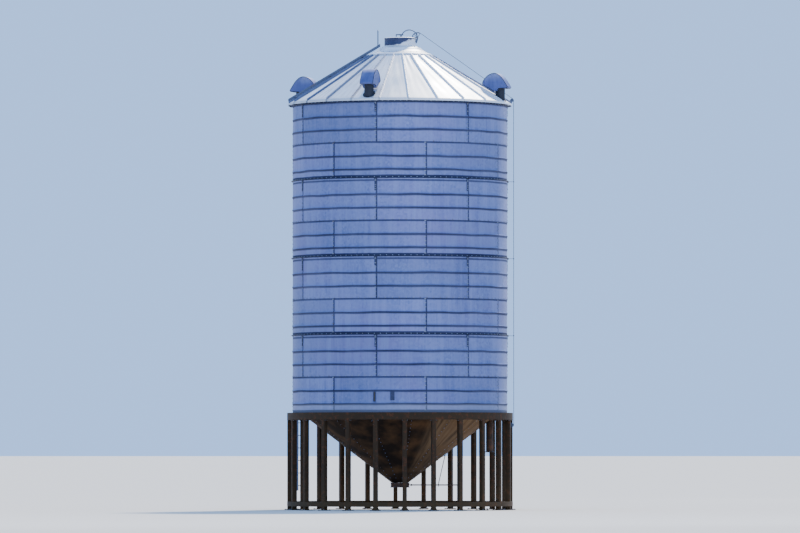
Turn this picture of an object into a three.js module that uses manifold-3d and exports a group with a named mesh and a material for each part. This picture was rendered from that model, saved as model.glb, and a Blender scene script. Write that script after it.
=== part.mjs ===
// Cone-bottomed grain silo of galvanised sheet steel, standing on a ring of painted steel legs.
// Millimetres, +Z up. The origin is on the silo's axis at ground level. The front is -Y, the right is +X.
// An azimuth is counted from the front towards the right. A piece is shaped at the front and then turned.

import * as THREE from 'three';
import { mergeVertices } from 'three/addons/utils/BufferGeometryUtils.js';
import Module from 'manifold-3d';

const wasm = await Module();
wasm.setup();

// Driving dimensions
const WALL_RADIUS = 2550;
const WALL_THICKNESS = 12;
const TIER_COUNT = 4;
const TIER_HEIGHT = 1830;
const WALL_BASE = 2300;
const ROOF_SLOPE = THREE.MathUtils.degToRad(31);
const ROOF_PANELS = 24;
const ROOF_OVERHANG = 112;
const HOPPER_SLOPE = THREE.MathUtils.degToRad(37.3);
const HOPPER_TIP_RADIUS = 200;
const HOPPER_TIP_HEIGHT = 645;
const LEG_COUNT = 24;
const LEG_WIDTH = 100;
const LEG_DEPTH = 115;
const LEG_OUTER_RADIUS = 2675;
const COLLAR_RADIUS = 372;
const LID_TOP = 11213;
const VENT_COUNT = 4;

// Shared small sizes: the gap between pieces that touch, and the facets of a full turn
const SEAT_GAP = 0.3;
const ROUND_SEGMENTS = 72;
const SMALL_ROUND_SEGMENTS = 36;
const FACET_START = THREE.MathUtils.degToRad(4.5);

// Azimuths in degrees
const LEG_AZIMUTH = 2.4;
const RIB_AZIMUTH = 4.5;
const VENT_AZIMUTH = -17;
const ROOF_LADDER_AZIMUTH = -90;
const WALL_LADDER_AZIMUTH = -120;

// Heights and radii that follow from the driving dimensions
const ROOF_THICKNESS = 14;
const WALL_TOP = WALL_BASE + TIER_COUNT * TIER_HEIGHT;
const WALL_INNER = WALL_RADIUS - WALL_THICKNESS;
const EAVE_RADIUS = WALL_RADIUS + ROOF_OVERHANG;
const EAVE_HEIGHT = WALL_TOP + ROOF_THICKNESS;

const roofTop = (radius) => EAVE_HEIGHT + (EAVE_RADIUS - radius) * Math.tan(ROOF_SLOPE);
const roofUnderside = (radius) => roofTop(radius) - ROOF_THICKNESS;
const hopperOutside = (radius) => HOPPER_TIP_HEIGHT + (radius - HOPPER_TIP_RADIUS) * Math.tan(HOPPER_SLOPE);

// Solids: a three.js geometry becomes a manifold solid, and the joined or cut result a geometry again

function solid(geometry) {
  const bare = geometry.clone();
  bare.deleteAttribute('normal');
  bare.deleteAttribute('uv');
  const merged = mergeVertices(bare, 1e-3);
  const vertProperties = new Float32Array(merged.attributes.position.array);
  const triVerts = new Uint32Array(merged.index.array);
  return new wasm.Manifold(new wasm.Mesh({ numProp: 3, vertProperties, triVerts }));
}

function fuse(solids) {
  return solids.reduce((whole, piece) => whole.add(piece));
}

function geometryOf(manifold) {
  const { vertProperties, triVerts } = manifold.getMesh();
  const geometry = new THREE.BufferGeometry();
  geometry.setAttribute('position', new THREE.BufferAttribute(new Float32Array(vertProperties), 3));
  geometry.setIndex(new THREE.BufferAttribute(new Uint32Array(triVerts), 1));
  const flat = geometry.toNonIndexed();
  flat.computeVertexNormals();
  return flat;
}

// A box by its lowest and highest corner
function box([x0, y0, z0], [x1, y1, z1]) {
  const geometry = new THREE.BoxGeometry(x1 - x0, y1 - y0, z1 - z0);
  geometry.translate((x0 + x1) / 2, (y0 + y1) / 2, (z0 + z1) / 2);
  return solid(geometry);
}

// A solid of revolution about the silo's axis from a closed outline of [radius, height] points
function revolve(outline, segments = ROUND_SEGMENTS, start = FACET_START) {
  const points = [...outline, outline[0]].map(([radius, height]) => new THREE.Vector2(radius, height));
  const geometry = new THREE.LatheGeometry(points, segments, start);
  geometry.rotateX(Math.PI / 2);
  return solid(geometry);
}

// A round bar between two points
function rod(from, to, radius, sides = 8) {
  const a = new THREE.Vector3(...from);
  const b = new THREE.Vector3(...to);
  const axis = b.clone().sub(a);
  const geometry = new THREE.CylinderGeometry(radius, radius, axis.length(), sides);
  const turn = new THREE.Quaternion().setFromUnitVectors(new THREE.Vector3(0, 1, 0), axis.normalize());
  geometry.applyQuaternion(turn);
  geometry.translate(...a.add(b).multiplyScalar(0.5).toArray());
  return solid(geometry);
}

// A route of straight runs from point to point, for a tube that bends
class Route extends THREE.Curve {
  constructor(points) {
    super();
    this.points = points.map((point) => new THREE.Vector3(...point));
  }

  getPoint(share) {
    const place = share * (this.points.length - 1);
    const index = Math.min(Math.floor(place), this.points.length - 2);
    return this.points[index].clone().lerp(this.points[index + 1], place - index);
  }

  getPointAt(share) {
    return this.getPoint(share);
  }
}

function tube(points, radius, sides = 8) {
  const section = new THREE.Shape(Array.from({ length: sides }, (_, index) => {
    const angle = 2 * Math.PI * index / sides;
    return new THREE.Vector2(radius * Math.cos(angle), radius * Math.sin(angle));
  }));
  const settings = { steps: points.length - 1, extrudePath: new Route(points), curveSegments: 1 };
  return solid(new THREE.ExtrudeGeometry(section, settings));
}

// A plate of one thickness cut to an outline in the XZ plane, between two Y values
function plateXZ(outline, y0, y1) {
  const shape = new THREE.Shape(outline.map(([x, z]) => new THREE.Vector2(x, z)));
  const geometry = new THREE.ExtrudeGeometry(shape, { depth: y1 - y0, bevelEnabled: false });
  geometry.rotateX(Math.PI / 2);
  geometry.translate(0, y1, 0);
  return solid(geometry);
}

// A bar of rectangular section laid along a slope at the front: across it from x0 to x1, out from the
// axis between two radii, and between two distances above the sloping surface
function slopeBar(surface, slope, [x0, x1], [rIn, rOut], [low, high]) {
  const along = (rOut - rIn) / Math.cos(slope);
  const geometry = new THREE.BoxGeometry(x1 - x0, along, high - low);
  geometry.translate((x0 + x1) / 2, 0, (low + high) / 2);
  geometry.rotateX(slope);
  const middle = (rIn + rOut) / 2;
  geometry.translate(0, -middle, surface(middle));
  return solid(geometry);
}

// Outline points given from one corner or centre, moved to where that stands
const placed = (outline, x, z) => outline.map(([dx, dz]) => [x + dx, z + dz]);

// Finishes: the colour, roughness and metalness of each kind of surface

function finish(color, roughness, metalness) {
  return new THREE.MeshStandardMaterial({ color, roughness, metalness });
}

const galvanised = () => finish('#7788b3', 0.5, 0.6);
const galvanisedAngle = () => finish('#465279', 0.55, 0.5);
const brightRoof = () => finish('#e2e9f2', 0.4, 0.4);
const sealedSteel = () => finish('#2b3556', 0.5, 0.3);
const ventSteel = () => finish('#5d699f', 0.55, 0.4);
const painted = () => finish('#44321f', 0.7, 0.1);
const hopperSteel = () => finish('#3a2a19', 0.75, 0.1);
const rustedSteel = () => finish('#5e4735', 0.65, 0.3);
const plainSteel = () => finish('#56617a', 0.5, 0.6);

const silo = new THREE.Group();

function part(name, manifold, material, group = silo) {
  const mesh = new THREE.Mesh(geometryOf(manifold), material);
  mesh.name = name;
  group.add(mesh);
  return mesh;
}

// A group turned so that what is shaped at the front comes to an azimuth
function turnedTo(azimuth) {
  const group = new THREE.Group();
  group.rotation.z = THREE.MathUtils.degToRad(azimuth);
  silo.add(group);
  return group;
}

// Wall: four tiers of rolled sheet with four beads each, each tier a closed ring standing on the one below
const BEAD_HEIGHT = 15;
const BEAD_HALF_WIDTH = 30;
const BEADS_BELOW_JOINT = [1620, 1310, 690, 380];

function wallTier(index) {
  const low = WALL_BASE + index * TIER_HEIGHT + (index > 0 ? SEAT_GAP : 0);
  const high = WALL_BASE + (index + 1) * TIER_HEIGHT;
  const beads = BEADS_BELOW_JOINT.flatMap((drop) => [
    [WALL_RADIUS, high - drop - BEAD_HALF_WIDTH],
    [WALL_RADIUS + BEAD_HEIGHT, high - drop],
    [WALL_RADIUS, high - drop + BEAD_HALF_WIDTH],
  ]);
  return revolve([[WALL_INNER, low], [WALL_RADIUS, low], ...beads, [WALL_RADIUS, high], [WALL_INNER, high]]);
}

for (let index = 0; index < TIER_COUNT; index += 1) {
  part(`wall_tier_${index + 1}`, wallTier(index), galvanised());
}

// Joint rings: a rolled band round each joint between two tiers
const JOINT_RING_REACH = 38;
const JOINT_RING_HEIGHT = 36;
const jointHeight = (index) => WALL_BASE + index * TIER_HEIGHT;

for (let index = 1; index < TIER_COUNT; index += 1) {
  const inner = WALL_RADIUS + SEAT_GAP;
  const outer = WALL_RADIUS + JOINT_RING_REACH;
  const low = jointHeight(index) - JOINT_RING_HEIGHT / 2;
  const high = low + JOINT_RING_HEIGHT;
  const ring = revolve([[inner, low], [outer, low], [outer, high], [inner, high]]);
  part(`joint_ring_${index}`, ring, galvanisedAngle());
}

// Eave ring: an angle that caps the wall and carries the roof panels
const EAVE_RING_INNER = WALL_INNER - 8;
const EAVE_RING_OUTER = WALL_RADIUS + 44;
const EAVE_RING_DEPTH = 60;
part('eave_ring', revolve([
  [WALL_RADIUS + SEAT_GAP, WALL_TOP - EAVE_RING_DEPTH],
  [EAVE_RING_OUTER, WALL_TOP - EAVE_RING_DEPTH],
  [EAVE_RING_OUTER, roofUnderside(EAVE_RING_OUTER) - SEAT_GAP],
  [EAVE_RING_INNER, roofUnderside(EAVE_RING_INNER) - SEAT_GAP],
  [EAVE_RING_INNER, WALL_TOP + SEAT_GAP],
  [WALL_RADIUS + SEAT_GAP, WALL_TOP + SEAT_GAP],
]), galvanisedAngle());

// Ring beam under the wall
const RING_BEAM_BOTTOM = 2130;
const RING_BEAM_INNER = 2505;
const RING_BEAM_OUTER = 2680;
part('ring_beam', revolve([
  [RING_BEAM_INNER, RING_BEAM_BOTTOM],
  [RING_BEAM_OUTER, RING_BEAM_BOTTOM],
  [RING_BEAM_OUTER, WALL_BASE - SEAT_GAP],
  [RING_BEAM_INNER, WALL_BASE - SEAT_GAP],
]), painted());

// Base ring: a rolled band that ties the legs, with a stub and a foot plate under each leg
const BASE_RING_BOTTOM = 90;
const BASE_RING_TOP = 200;
const BASE_RING_OUTER = LEG_OUTER_RADIUS + 5;
const BASE_RING_INNER = LEG_OUTER_RADIUS - LEG_DEPTH - 15;
const STUB_OVERLAP = 20;
const FOOT_PLATE_THICKNESS = 14;
const FOOT_PLATE_WIDTH = 200;
const FOOT_PLATE_INNER = 2490;
const FOOT_PLATE_OUTER = 2745;

function foot() {
  const half = FOOT_PLATE_WIDTH / 2;
  const stub = box(
    [-LEG_WIDTH / 2, -LEG_OUTER_RADIUS, 0],
    [LEG_WIDTH / 2, -LEG_OUTER_RADIUS + LEG_DEPTH, BASE_RING_BOTTOM + STUB_OVERLAP],
  );
  const plate = box([-half, -FOOT_PLATE_OUTER, 0], [half, -FOOT_PLATE_INNER, FOOT_PLATE_THICKNESS]);
  return stub.add(plate);
}

const legAzimuth = (index) => LEG_AZIMUTH + index * 360 / LEG_COUNT;

const baseBand = revolve([
  [BASE_RING_INNER, BASE_RING_BOTTOM],
  [BASE_RING_OUTER, BASE_RING_BOTTOM],
  [BASE_RING_OUTER, BASE_RING_TOP],
  [BASE_RING_INNER, BASE_RING_TOP],
]);
const feet = Array.from({ length: LEG_COUNT }, (_, index) => foot().rotate([0, 0, legAzimuth(index)]));
part('base_ring', fuse([baseBand, ...feet]), painted());

// Legs: square tube from the base ring to the ring beam, with a wider cap plate at the top
const LEG_CAP_THICKNESS = 12;
const LEG_CAP_OVERHANG = 20;

function leg() {
  const top = RING_BEAM_BOTTOM - SEAT_GAP;
  const half = LEG_WIDTH / 2;
  const inner = -LEG_OUTER_RADIUS + LEG_DEPTH;
  const post = box([-half, -LEG_OUTER_RADIUS, BASE_RING_TOP + SEAT_GAP], [half, inner, top]);
  const cap = box(
    [-half - LEG_CAP_OVERHANG, -LEG_OUTER_RADIUS, top - LEG_CAP_THICKNESS],
    [half + LEG_CAP_OVERHANG, inner + LEG_CAP_OVERHANG, top],
  );
  return post.add(cap);
}

for (let index = 0; index < LEG_COUNT; index += 1) {
  part(`leg_${String(index + 1).padStart(2, '0')}`, leg(), painted(), turnedTo(legAzimuth(index)));
}

// Hopper: a cone hung inside the wall's foot by an upright band
const HOPPER_SKIN = 12;
const HOPPER_BAND_RADIUS = WALL_INNER - SEAT_GAP;
const HOPPER_BAND_THICKNESS = 14;
const HOPPER_BAND_HEIGHT = 70;
const hopperBandLow = hopperOutside(HOPPER_BAND_RADIUS);
const skinShift = [-HOPPER_SKIN * Math.sin(HOPPER_SLOPE), HOPPER_SKIN * Math.cos(HOPPER_SLOPE)];
const bandInner = HOPPER_BAND_RADIUS - HOPPER_BAND_THICKNESS;
const hopperInside = (radius) => hopperOutside(radius - skinShift[0]) + skinShift[1];
part('hopper_cone', revolve([
  [HOPPER_TIP_RADIUS, HOPPER_TIP_HEIGHT],
  [HOPPER_BAND_RADIUS, hopperBandLow],
  [HOPPER_BAND_RADIUS, hopperBandLow + HOPPER_BAND_HEIGHT],
  [bandInner, hopperBandLow + HOPPER_BAND_HEIGHT],
  [bandInner, hopperInside(bandInner)],
  [HOPPER_TIP_RADIUS + skinShift[0], HOPPER_TIP_HEIGHT + skinShift[1]],
]), hopperSteel());

// Outlet housing: a welded box under the hopper's tip, with a slot on its right for the gate
const HOUSING_HALF = 230;
const HOUSING_BOTTOM = 530;
const HOUSING_TOP = HOPPER_TIP_HEIGHT - SEAT_GAP;
const THROAT_HALF = 160;
const SLOT_LOW = 585;
const SLOT_HIGH = 605;
const SLOT_HALF = 190;
const CUT_PAST = 10;

const housingBody = box(
  [-HOUSING_HALF, -HOUSING_HALF, HOUSING_BOTTOM],
  [HOUSING_HALF, HOUSING_HALF, HOUSING_TOP],
);
const throat = box(
  [-THROAT_HALF, -THROAT_HALF, HOUSING_BOTTOM - CUT_PAST],
  [THROAT_HALF, THROAT_HALF, HOUSING_TOP + CUT_PAST],
);
const gateSlot = box([-SLOT_HALF, -SLOT_HALF, SLOT_LOW], [HOUSING_HALF + CUT_PAST, SLOT_HALF, SLOT_HIGH]);
part('outlet_housing', housingBody.subtract(throat).subtract(gateSlot), rustedSteel());

// Slide gate: a plate in the slot, with a lug, a long operating rod and a T handle to the right
const GATE_SIDE_GAP = 10;
const GATE_THICKNESS = 10;
const GATE_HALF = SLOT_HALF - GATE_SIDE_GAP;
const GATE_PLATE_END = HOUSING_HALF + 30;
const GATE_LUG_LENGTH = 30;
const GATE_LUG_OVERLAP = 14;
const GATE_LUG_HALF_WIDTH = 40;
const GATE_LUG_HALF_HEIGHT = 25;
const GATE_ROD_RADIUS = 14;
const GATE_ROD_END = 1345;
const GATE_HANDLE_HALF = 110;
const ROUND_ROD_SIDES = 12;
const gateLow = SLOT_LOW + SEAT_GAP;
const gateMiddle = gateLow + GATE_THICKNESS / 2;
const lugStart = GATE_PLATE_END - GATE_LUG_OVERLAP;
const rodStart = lugStart + GATE_LUG_LENGTH / 2;

part('slide_gate', fuse([
  box([-GATE_HALF, -GATE_HALF, gateLow], [GATE_PLATE_END, GATE_HALF, gateLow + GATE_THICKNESS]),
  box(
    [lugStart, -GATE_LUG_HALF_WIDTH, gateMiddle - GATE_LUG_HALF_HEIGHT],
    [lugStart + GATE_LUG_LENGTH, GATE_LUG_HALF_WIDTH, gateMiddle + GATE_LUG_HALF_HEIGHT],
  ),
  rod([rodStart, 0, gateMiddle], [GATE_ROD_END, 0, gateMiddle], GATE_ROD_RADIUS, ROUND_ROD_SIDES),
  rod(
    [GATE_ROD_END, -GATE_HANDLE_HALF, gateMiddle],
    [GATE_ROD_END, GATE_HANDLE_HALF, gateMiddle],
    GATE_ROD_RADIUS,
    ROUND_ROD_SIDES,
  ),
]), rustedSteel());

// Rod guide: an eye round the gate's rod, hung from the hopper by a round bar and a pad
const GUIDE_X = 914;
const GUIDE_THICKNESS = 20;
const GUIDE_HALF = 40;
const GUIDE_HOLE = GATE_ROD_RADIUS + 1.5;
const HANGER_TOP_RADIUS = 1070;
const HANGER_BAR_RADIUS = 9;
const HANGER_PAD_HALF = 42;
const HANGER_PAD_THICKNESS = 12;
const HANGER_PAD_GAP = SEAT_GAP + 0.1;

const guideEye = box(
  [GUIDE_X - GUIDE_THICKNESS / 2, -GUIDE_HALF, gateMiddle - GUIDE_HALF],
  [GUIDE_X + GUIDE_THICKNESS / 2, GUIDE_HALF, gateMiddle + GUIDE_HALF],
).subtract(rod(
  [GUIDE_X - GUIDE_THICKNESS, 0, gateMiddle],
  [GUIDE_X + GUIDE_THICKNESS, 0, gateMiddle],
  GUIDE_HOLE,
  16,
));
const hanger = rod(
  [GUIDE_X, 0, gateMiddle + GUIDE_HALF - HANGER_BAR_RADIUS / 2],
  [HANGER_TOP_RADIUS, 0, hopperOutside(HANGER_TOP_RADIUS) - HANGER_PAD_THICKNESS],
  HANGER_BAR_RADIUS,
);
const hangerPad = slopeBar(
  hopperOutside,
  -HOPPER_SLOPE,
  [-HANGER_PAD_HALF, HANGER_PAD_HALF],
  [HANGER_TOP_RADIUS - HANGER_PAD_HALF, HANGER_TOP_RADIUS + HANGER_PAD_HALF],
  [-HANGER_PAD_THICKNESS, -HANGER_PAD_GAP],
).rotate([0, 0, 90]);
part('rod_guide', fuse([guideEye, hanger, hangerPad]), plainSteel());

// Roof: a cone of sheets with a turned-down eave lip and a standing rib over every joint
const RIB_WIDTH = 38;
const RIB_HEIGHT = 40;
const RIB_SUNK = 4;
const RIB_INNER = 775;
const RIB_OUTER = EAVE_RADIUS - 20;
const EAVE_LIP = 45;
const EAVE_LIP_THICKNESS = 12;
const ROOF_HOLE = COLLAR_RADIUS + 1;
const lipInner = EAVE_RADIUS - EAVE_LIP_THICKNESS;

const roofShell = revolve([
  [EAVE_RADIUS, EAVE_HEIGHT - EAVE_LIP],
  [EAVE_RADIUS, EAVE_HEIGHT],
  [ROOF_HOLE, roofTop(ROOF_HOLE)],
  [ROOF_HOLE, roofUnderside(ROOF_HOLE)],
  [lipInner, roofUnderside(lipInner)],
  [lipInner, EAVE_HEIGHT - EAVE_LIP],
]);
const ribs = Array.from({ length: ROOF_PANELS }, (_, index) => slopeBar(
  roofTop,
  ROOF_SLOPE,
  [-RIB_WIDTH / 2, RIB_WIDTH / 2],
  [RIB_INNER, RIB_OUTER],
  [-RIB_SUNK, RIB_HEIGHT],
).rotate([0, 0, RIB_AZIMUTH + index * 360 / ROOF_PANELS]));
part('roof_cone', fuse([roofShell, ...ribs]), brightRoof());

// Crown: the flashing skirt round the filler, with a raised bead and a raised rim
const CROWN_OUTER = 762;
const CROWN_SEAT = 2;
const CROWN_SHEET_LIFT = 12;
const CROWN_BEAD_LIFT = 28;
const CROWN_BEAD_RADIUS = 500;
const CROWN_BEAD_CREST = 15;
const CROWN_BEAD_FOOT = 30;
const CROWN_RIM_LIFT = 32;
const CROWN_RIM_FOOT = 700;
const CROWN_RIM_CREST = 718;
const crownPoint = (radius, lift) => [radius, roofTop(radius) + lift];
part('roof_crown', revolve([
  crownPoint(CROWN_OUTER, CROWN_SEAT),
  crownPoint(CROWN_OUTER, CROWN_RIM_LIFT),
  crownPoint(CROWN_RIM_CREST, CROWN_RIM_LIFT),
  crownPoint(CROWN_RIM_FOOT, CROWN_SHEET_LIFT),
  crownPoint(CROWN_BEAD_RADIUS + CROWN_BEAD_FOOT, CROWN_SHEET_LIFT),
  crownPoint(CROWN_BEAD_RADIUS + CROWN_BEAD_CREST, CROWN_BEAD_LIFT),
  crownPoint(CROWN_BEAD_RADIUS - CROWN_BEAD_CREST, CROWN_BEAD_LIFT),
  crownPoint(CROWN_BEAD_RADIUS - CROWN_BEAD_FOOT, CROWN_SHEET_LIFT),
  crownPoint(ROOF_HOLE, CROWN_SHEET_LIFT),
  crownPoint(ROOF_HOLE, CROWN_SEAT),
], SMALL_ROUND_SEGMENTS), brightRoof());

// Filler collar: the short upright throat that the lid closes
const COLLAR_THICKNESS = 22;
const COLLAR_BOTTOM = 10960;
const LID_THICKNESS = 18;
const lidLow = LID_TOP - LID_THICKNESS;
const collarTop = lidLow - SEAT_GAP;
part('filler_collar', revolve([
  [COLLAR_RADIUS - COLLAR_THICKNESS, COLLAR_BOTTOM],
  [COLLAR_RADIUS, COLLAR_BOTTOM],
  [COLLAR_RADIUS, collarTop],
  [COLLAR_RADIUS - COLLAR_THICKNESS, collarTop],
], SMALL_ROUND_SEGMENTS), sealedSteel());

// Lid hinge: two lugs on the collar's right side, with the pin between them
const HINGE_X = 415;
const HINGE_Z = 11215;
const PIN_RADIUS = 8;
const PIN_SIDES = 16;
const LUG_INNER_Y = 52;
const LUG_OUTER_Y = 62;
const LUG_FOOT = COLLAR_RADIUS + SEAT_GAP - HINGE_X;
const LUG_DROP = 125;
const HINGE_BACK_THICKNESS = 12.7;
const HINGE_BACK_TOP = 40;
const lugOutline = placed([
  [LUG_FOOT, -LUG_DROP],
  [-14, -LUG_DROP],
  [16, -20],
  [16, 16],
  [-14, 16],
  [-14, -24],
  [LUG_FOOT, -36],
], HINGE_X, HINGE_Z);
const lugFace = HINGE_X + LUG_FOOT;
part('lid_hinge_bracket', fuse([
  box(
    [lugFace, -LUG_OUTER_Y, HINGE_Z - LUG_DROP],
    [lugFace + HINGE_BACK_THICKNESS, LUG_OUTER_Y, HINGE_Z - HINGE_BACK_TOP],
  ),
  plateXZ(lugOutline, LUG_INNER_Y, LUG_OUTER_Y),
  plateXZ(lugOutline, -LUG_OUTER_Y, -LUG_INNER_Y),
  rod([HINGE_X, -LUG_OUTER_Y + 2, HINGE_Z], [HINGE_X, LUG_OUTER_Y - 2, HINGE_Z], PIN_RADIUS, PIN_SIDES),
]), plainSteel());

// Lid: a flat disc with a bar handle, a curved lever and a rope quadrant centred on the hinge pin.
// The lever stands behind the quadrant, so that it passes beside the cable when the lid is thrown open.
const LID_RADIUS = 392;
const LID_RIM_HEIGHT = 8;
const LID_RIM_SLOPE = 30;
const STRAP_START = 180;
const STRAP_RISE = 10;
const STRAP_SUNK = 4;
const KNUCKLE_RADIUS = 20;
const KNUCKLE_HALF = 45;
const KNUCKLE_BORE = PIN_RADIUS + 1;
const CABLE_RADIUS = 6;
const QUADRANT_RADIUS = 124;
const QUADRANT_HALF = 5;
const QUADRANT_FROM = THREE.MathUtils.degToRad(54);
const QUADRANT_TO = THREE.MathUtils.degToRad(172);
const QUADRANT_STEPS = 14;
const LEVER_CENTRE_X = 222;
const LEVER_RADIUS = 190;
const LEVER_BAR_RADIUS = 12;
const LEVER_Y = 30;
const LEVER_STEPS = 12;
const HANDLE_FROM = -100;
const HANDLE_TO = 76;
const HANDLE_POSTS = [-90, 10];
const HANDLE_RISE = 78;
const HANDLE_BAR_RADIUS = 14;
const HANDLE_POST_RADIUS = 10;
const HANDLE_SUNK = 5;

const lidDisc = revolve([
  [0, lidLow],
  [LID_RADIUS, lidLow],
  [LID_RADIUS, lidLow + LID_RIM_HEIGHT],
  [LID_RADIUS - LID_RIM_SLOPE, LID_TOP],
  [0, LID_TOP],
], SMALL_ROUND_SEGMENTS);
const strap = box(
  [STRAP_START, -KNUCKLE_HALF, LID_TOP - STRAP_SUNK],
  [HINGE_X, KNUCKLE_HALF, LID_TOP + STRAP_RISE],
);
const acrossHinge = (half, radius) => rod(
  [HINGE_X, -half, HINGE_Z],
  [HINGE_X, half, HINGE_Z],
  radius,
  PIN_SIDES,
);

// The quadrant's rim runs from where the cable leaves it round to the lid's top
const quadrantArc = new THREE.EllipseCurve(
  HINGE_X,
  HINGE_Z,
  QUADRANT_RADIUS,
  QUADRANT_RADIUS,
  QUADRANT_FROM,
  QUADRANT_TO,
);
const quadrant = plateXZ([
  [HINGE_X, HINGE_Z],
  ...quadrantArc.getPoints(QUADRANT_STEPS).map((point) => [point.x, point.y]),
], -QUADRANT_HALF, QUADRANT_HALF);

const lever = tube(Array.from({ length: LEVER_STEPS + 1 }, (_, step) => {
  const angle = Math.PI * step / LEVER_STEPS;
  const x = LEVER_CENTRE_X + LEVER_RADIUS * Math.cos(angle);
  return [x, LEVER_Y, HINGE_Z + LEVER_RADIUS * Math.sin(angle)];
}), LEVER_BAR_RADIUS);

const handleTop = LID_TOP + HANDLE_RISE;
const handlePosts = HANDLE_POSTS.map(
  (x) => rod([x, 0, LID_TOP - HANDLE_SUNK], [x, 0, handleTop], HANDLE_POST_RADIUS),
);
const lid = fuse([
  lidDisc,
  strap,
  acrossHinge(KNUCKLE_HALF, KNUCKLE_RADIUS),
  quadrant,
  lever,
  rod([HANDLE_FROM, 0, handleTop], [HANDLE_TO, 0, handleTop], HANDLE_BAR_RADIUS),
  ...handlePosts,
]).subtract(acrossHinge(KNUCKLE_HALF + CUT_PAST, KNUCKLE_BORE));
part('lid', lid, brightRoof());

// Lid cable: from the quadrant down over the roof, round the eave pulley and down beside the wall
const PULLEY_RADIUS = 34;
const PULLEY_RISE = 95;
const CABLE_DROP_X = 2700;
const CABLE_BOTTOM = 2010;
const quadrantReach = QUADRANT_RADIUS + CABLE_RADIUS + SEAT_GAP;
const pulleyReach = PULLEY_RADIUS + CABLE_RADIUS + SEAT_GAP;
const PULLEY_X = CABLE_DROP_X - pulleyReach;
const PULLEY_Z = EAVE_HEIGHT + PULLEY_RISE;
const centreLine = new THREE.Vector2(PULLEY_X - HINGE_X, PULLEY_Z - HINGE_Z);
const leaveAngle = centreLine.angle() - 2 * Math.PI
  + Math.acos((quadrantReach - pulleyReach) / centreLine.length());
const around = (x, z, reach, angle) => [x + reach * Math.cos(angle), 0, z + reach * Math.sin(angle)];
const pulleyShares = [1, 0.8, 0.6, 0.4, 0.2, 0];

part('lid_cable', tube([
  around(HINGE_X, HINGE_Z, quadrantReach, leaveAngle),
  ...pulleyShares.map((share) => around(PULLEY_X, PULLEY_Z, pulleyReach, leaveAngle * share)),
  [CABLE_DROP_X, 0, CABLE_BOTTOM],
], CABLE_RADIUS), plainSteel());

// Eave pulley: a sheave between two cheeks on a plate that lies on the roof's edge
const PULLEY_PLATE_HALF = 45;
const PULLEY_PLATE_INNER = EAVE_RADIUS - 130;
const PULLEY_PLATE_OUTER = EAVE_RADIUS - 10;
const PULLEY_PLATE_TOP = 10;
const PULLEY_CHEEK_INNER = 14;
const PULLEY_CHEEK_OUTER = 22;
const SHEAVE_HALF = 12;
const SHEAVE_SIDES = 20;
const PULLEY_PIN_RADIUS = 9;
const PULLEY_PIN_HALF = 30;
const cheekInner = EAVE_RADIUS - 120;
const cheekOuter = EAVE_RADIUS - 15;
const cheekOutline = [
  [cheekInner, roofTop(cheekInner) + PULLEY_PLATE_TOP / 2],
  [cheekOuter, roofTop(cheekOuter) + PULLEY_PLATE_TOP / 2],
  ...placed([[18, -10], [10, 16], [-16, 12]], PULLEY_X, PULLEY_Z),
];
const acrossPulley = (half, radius, sides) => rod(
  [PULLEY_X, -half, PULLEY_Z],
  [PULLEY_X, half, PULLEY_Z],
  radius,
  sides,
);
part('eave_pulley', fuse([
  slopeBar(
    roofTop,
    ROOF_SLOPE,
    [-PULLEY_PLATE_HALF, PULLEY_PLATE_HALF],
    [PULLEY_PLATE_INNER, PULLEY_PLATE_OUTER],
    [SEAT_GAP, PULLEY_PLATE_TOP],
  ).rotate([0, 0, 90]),
  plateXZ(cheekOutline, PULLEY_CHEEK_INNER, PULLEY_CHEEK_OUTER),
  plateXZ(cheekOutline, -PULLEY_CHEEK_OUTER, -PULLEY_CHEEK_INNER),
  acrossPulley(SHEAVE_HALF, PULLEY_RADIUS, SHEAVE_SIDES),
  acrossPulley(PULLEY_PIN_HALF, PULLEY_PIN_RADIUS, ROUND_ROD_SIDES),
]), plainSteel());

// Cable guides: a tab with an eye at each joint ring
const GUIDE_TAB_HALF = 22;
const GUIDE_TAB_HALF_THICKNESS = 6;
const GUIDE_EYE_RADIUS = CABLE_RADIUS + 1.5;
for (let index = 1; index < TIER_COUNT; index += 1) {
  const height = jointHeight(index);
  const tab = box(
    [WALL_RADIUS + JOINT_RING_REACH + SEAT_GAP, -GUIDE_TAB_HALF, height - GUIDE_TAB_HALF_THICKNESS],
    [CABLE_DROP_X + GUIDE_TAB_HALF, GUIDE_TAB_HALF, height + GUIDE_TAB_HALF_THICKNESS],
  );
  const eye = rod(
    [CABLE_DROP_X, 0, height - CUT_PAST],
    [CABLE_DROP_X, 0, height + CUT_PAST],
    GUIDE_EYE_RADIUS,
    ROUND_ROD_SIDES,
  );
  part(`cable_guide_${index}`, tab.subtract(eye), plainSteel());
}

// Hand winch: a drum and crank on the side of the leg at the right, under the cable
const DRUM_RADIUS = 32;
const DRUM_FLANGE = 10;
const DRUM_FROM = -48;
const DRUM_TO = 50;
const DRUM_FLANGE_THICKNESS = 9;
const WINCH_PLATE_FROM = 48;
const WINCH_PLATE_TO = 59.1;
const WINCH_PLATE_HALF_HEIGHT = 60;
const WINCH_PLATE_INNER = 50;
const WINCH_PLATE_OUTER = 12;
const CRANK_Y = -84;
const CRANK_END_Y = -180;
const CRANK_LENGTH = 190;
const CRANK_BAR_RADIUS = 10;
const CRANK_GRIP_RADIUS = 13;
const DRUM_SIDES = 16;
const drumX = CABLE_DROP_X - DRUM_RADIUS - CABLE_RADIUS - SEAT_GAP;
const alongDrum = (from, to, radius, sides) => rod(
  [drumX, from, CABLE_BOTTOM],
  [drumX, to, CABLE_BOTTOM],
  radius,
  sides,
);
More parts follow.
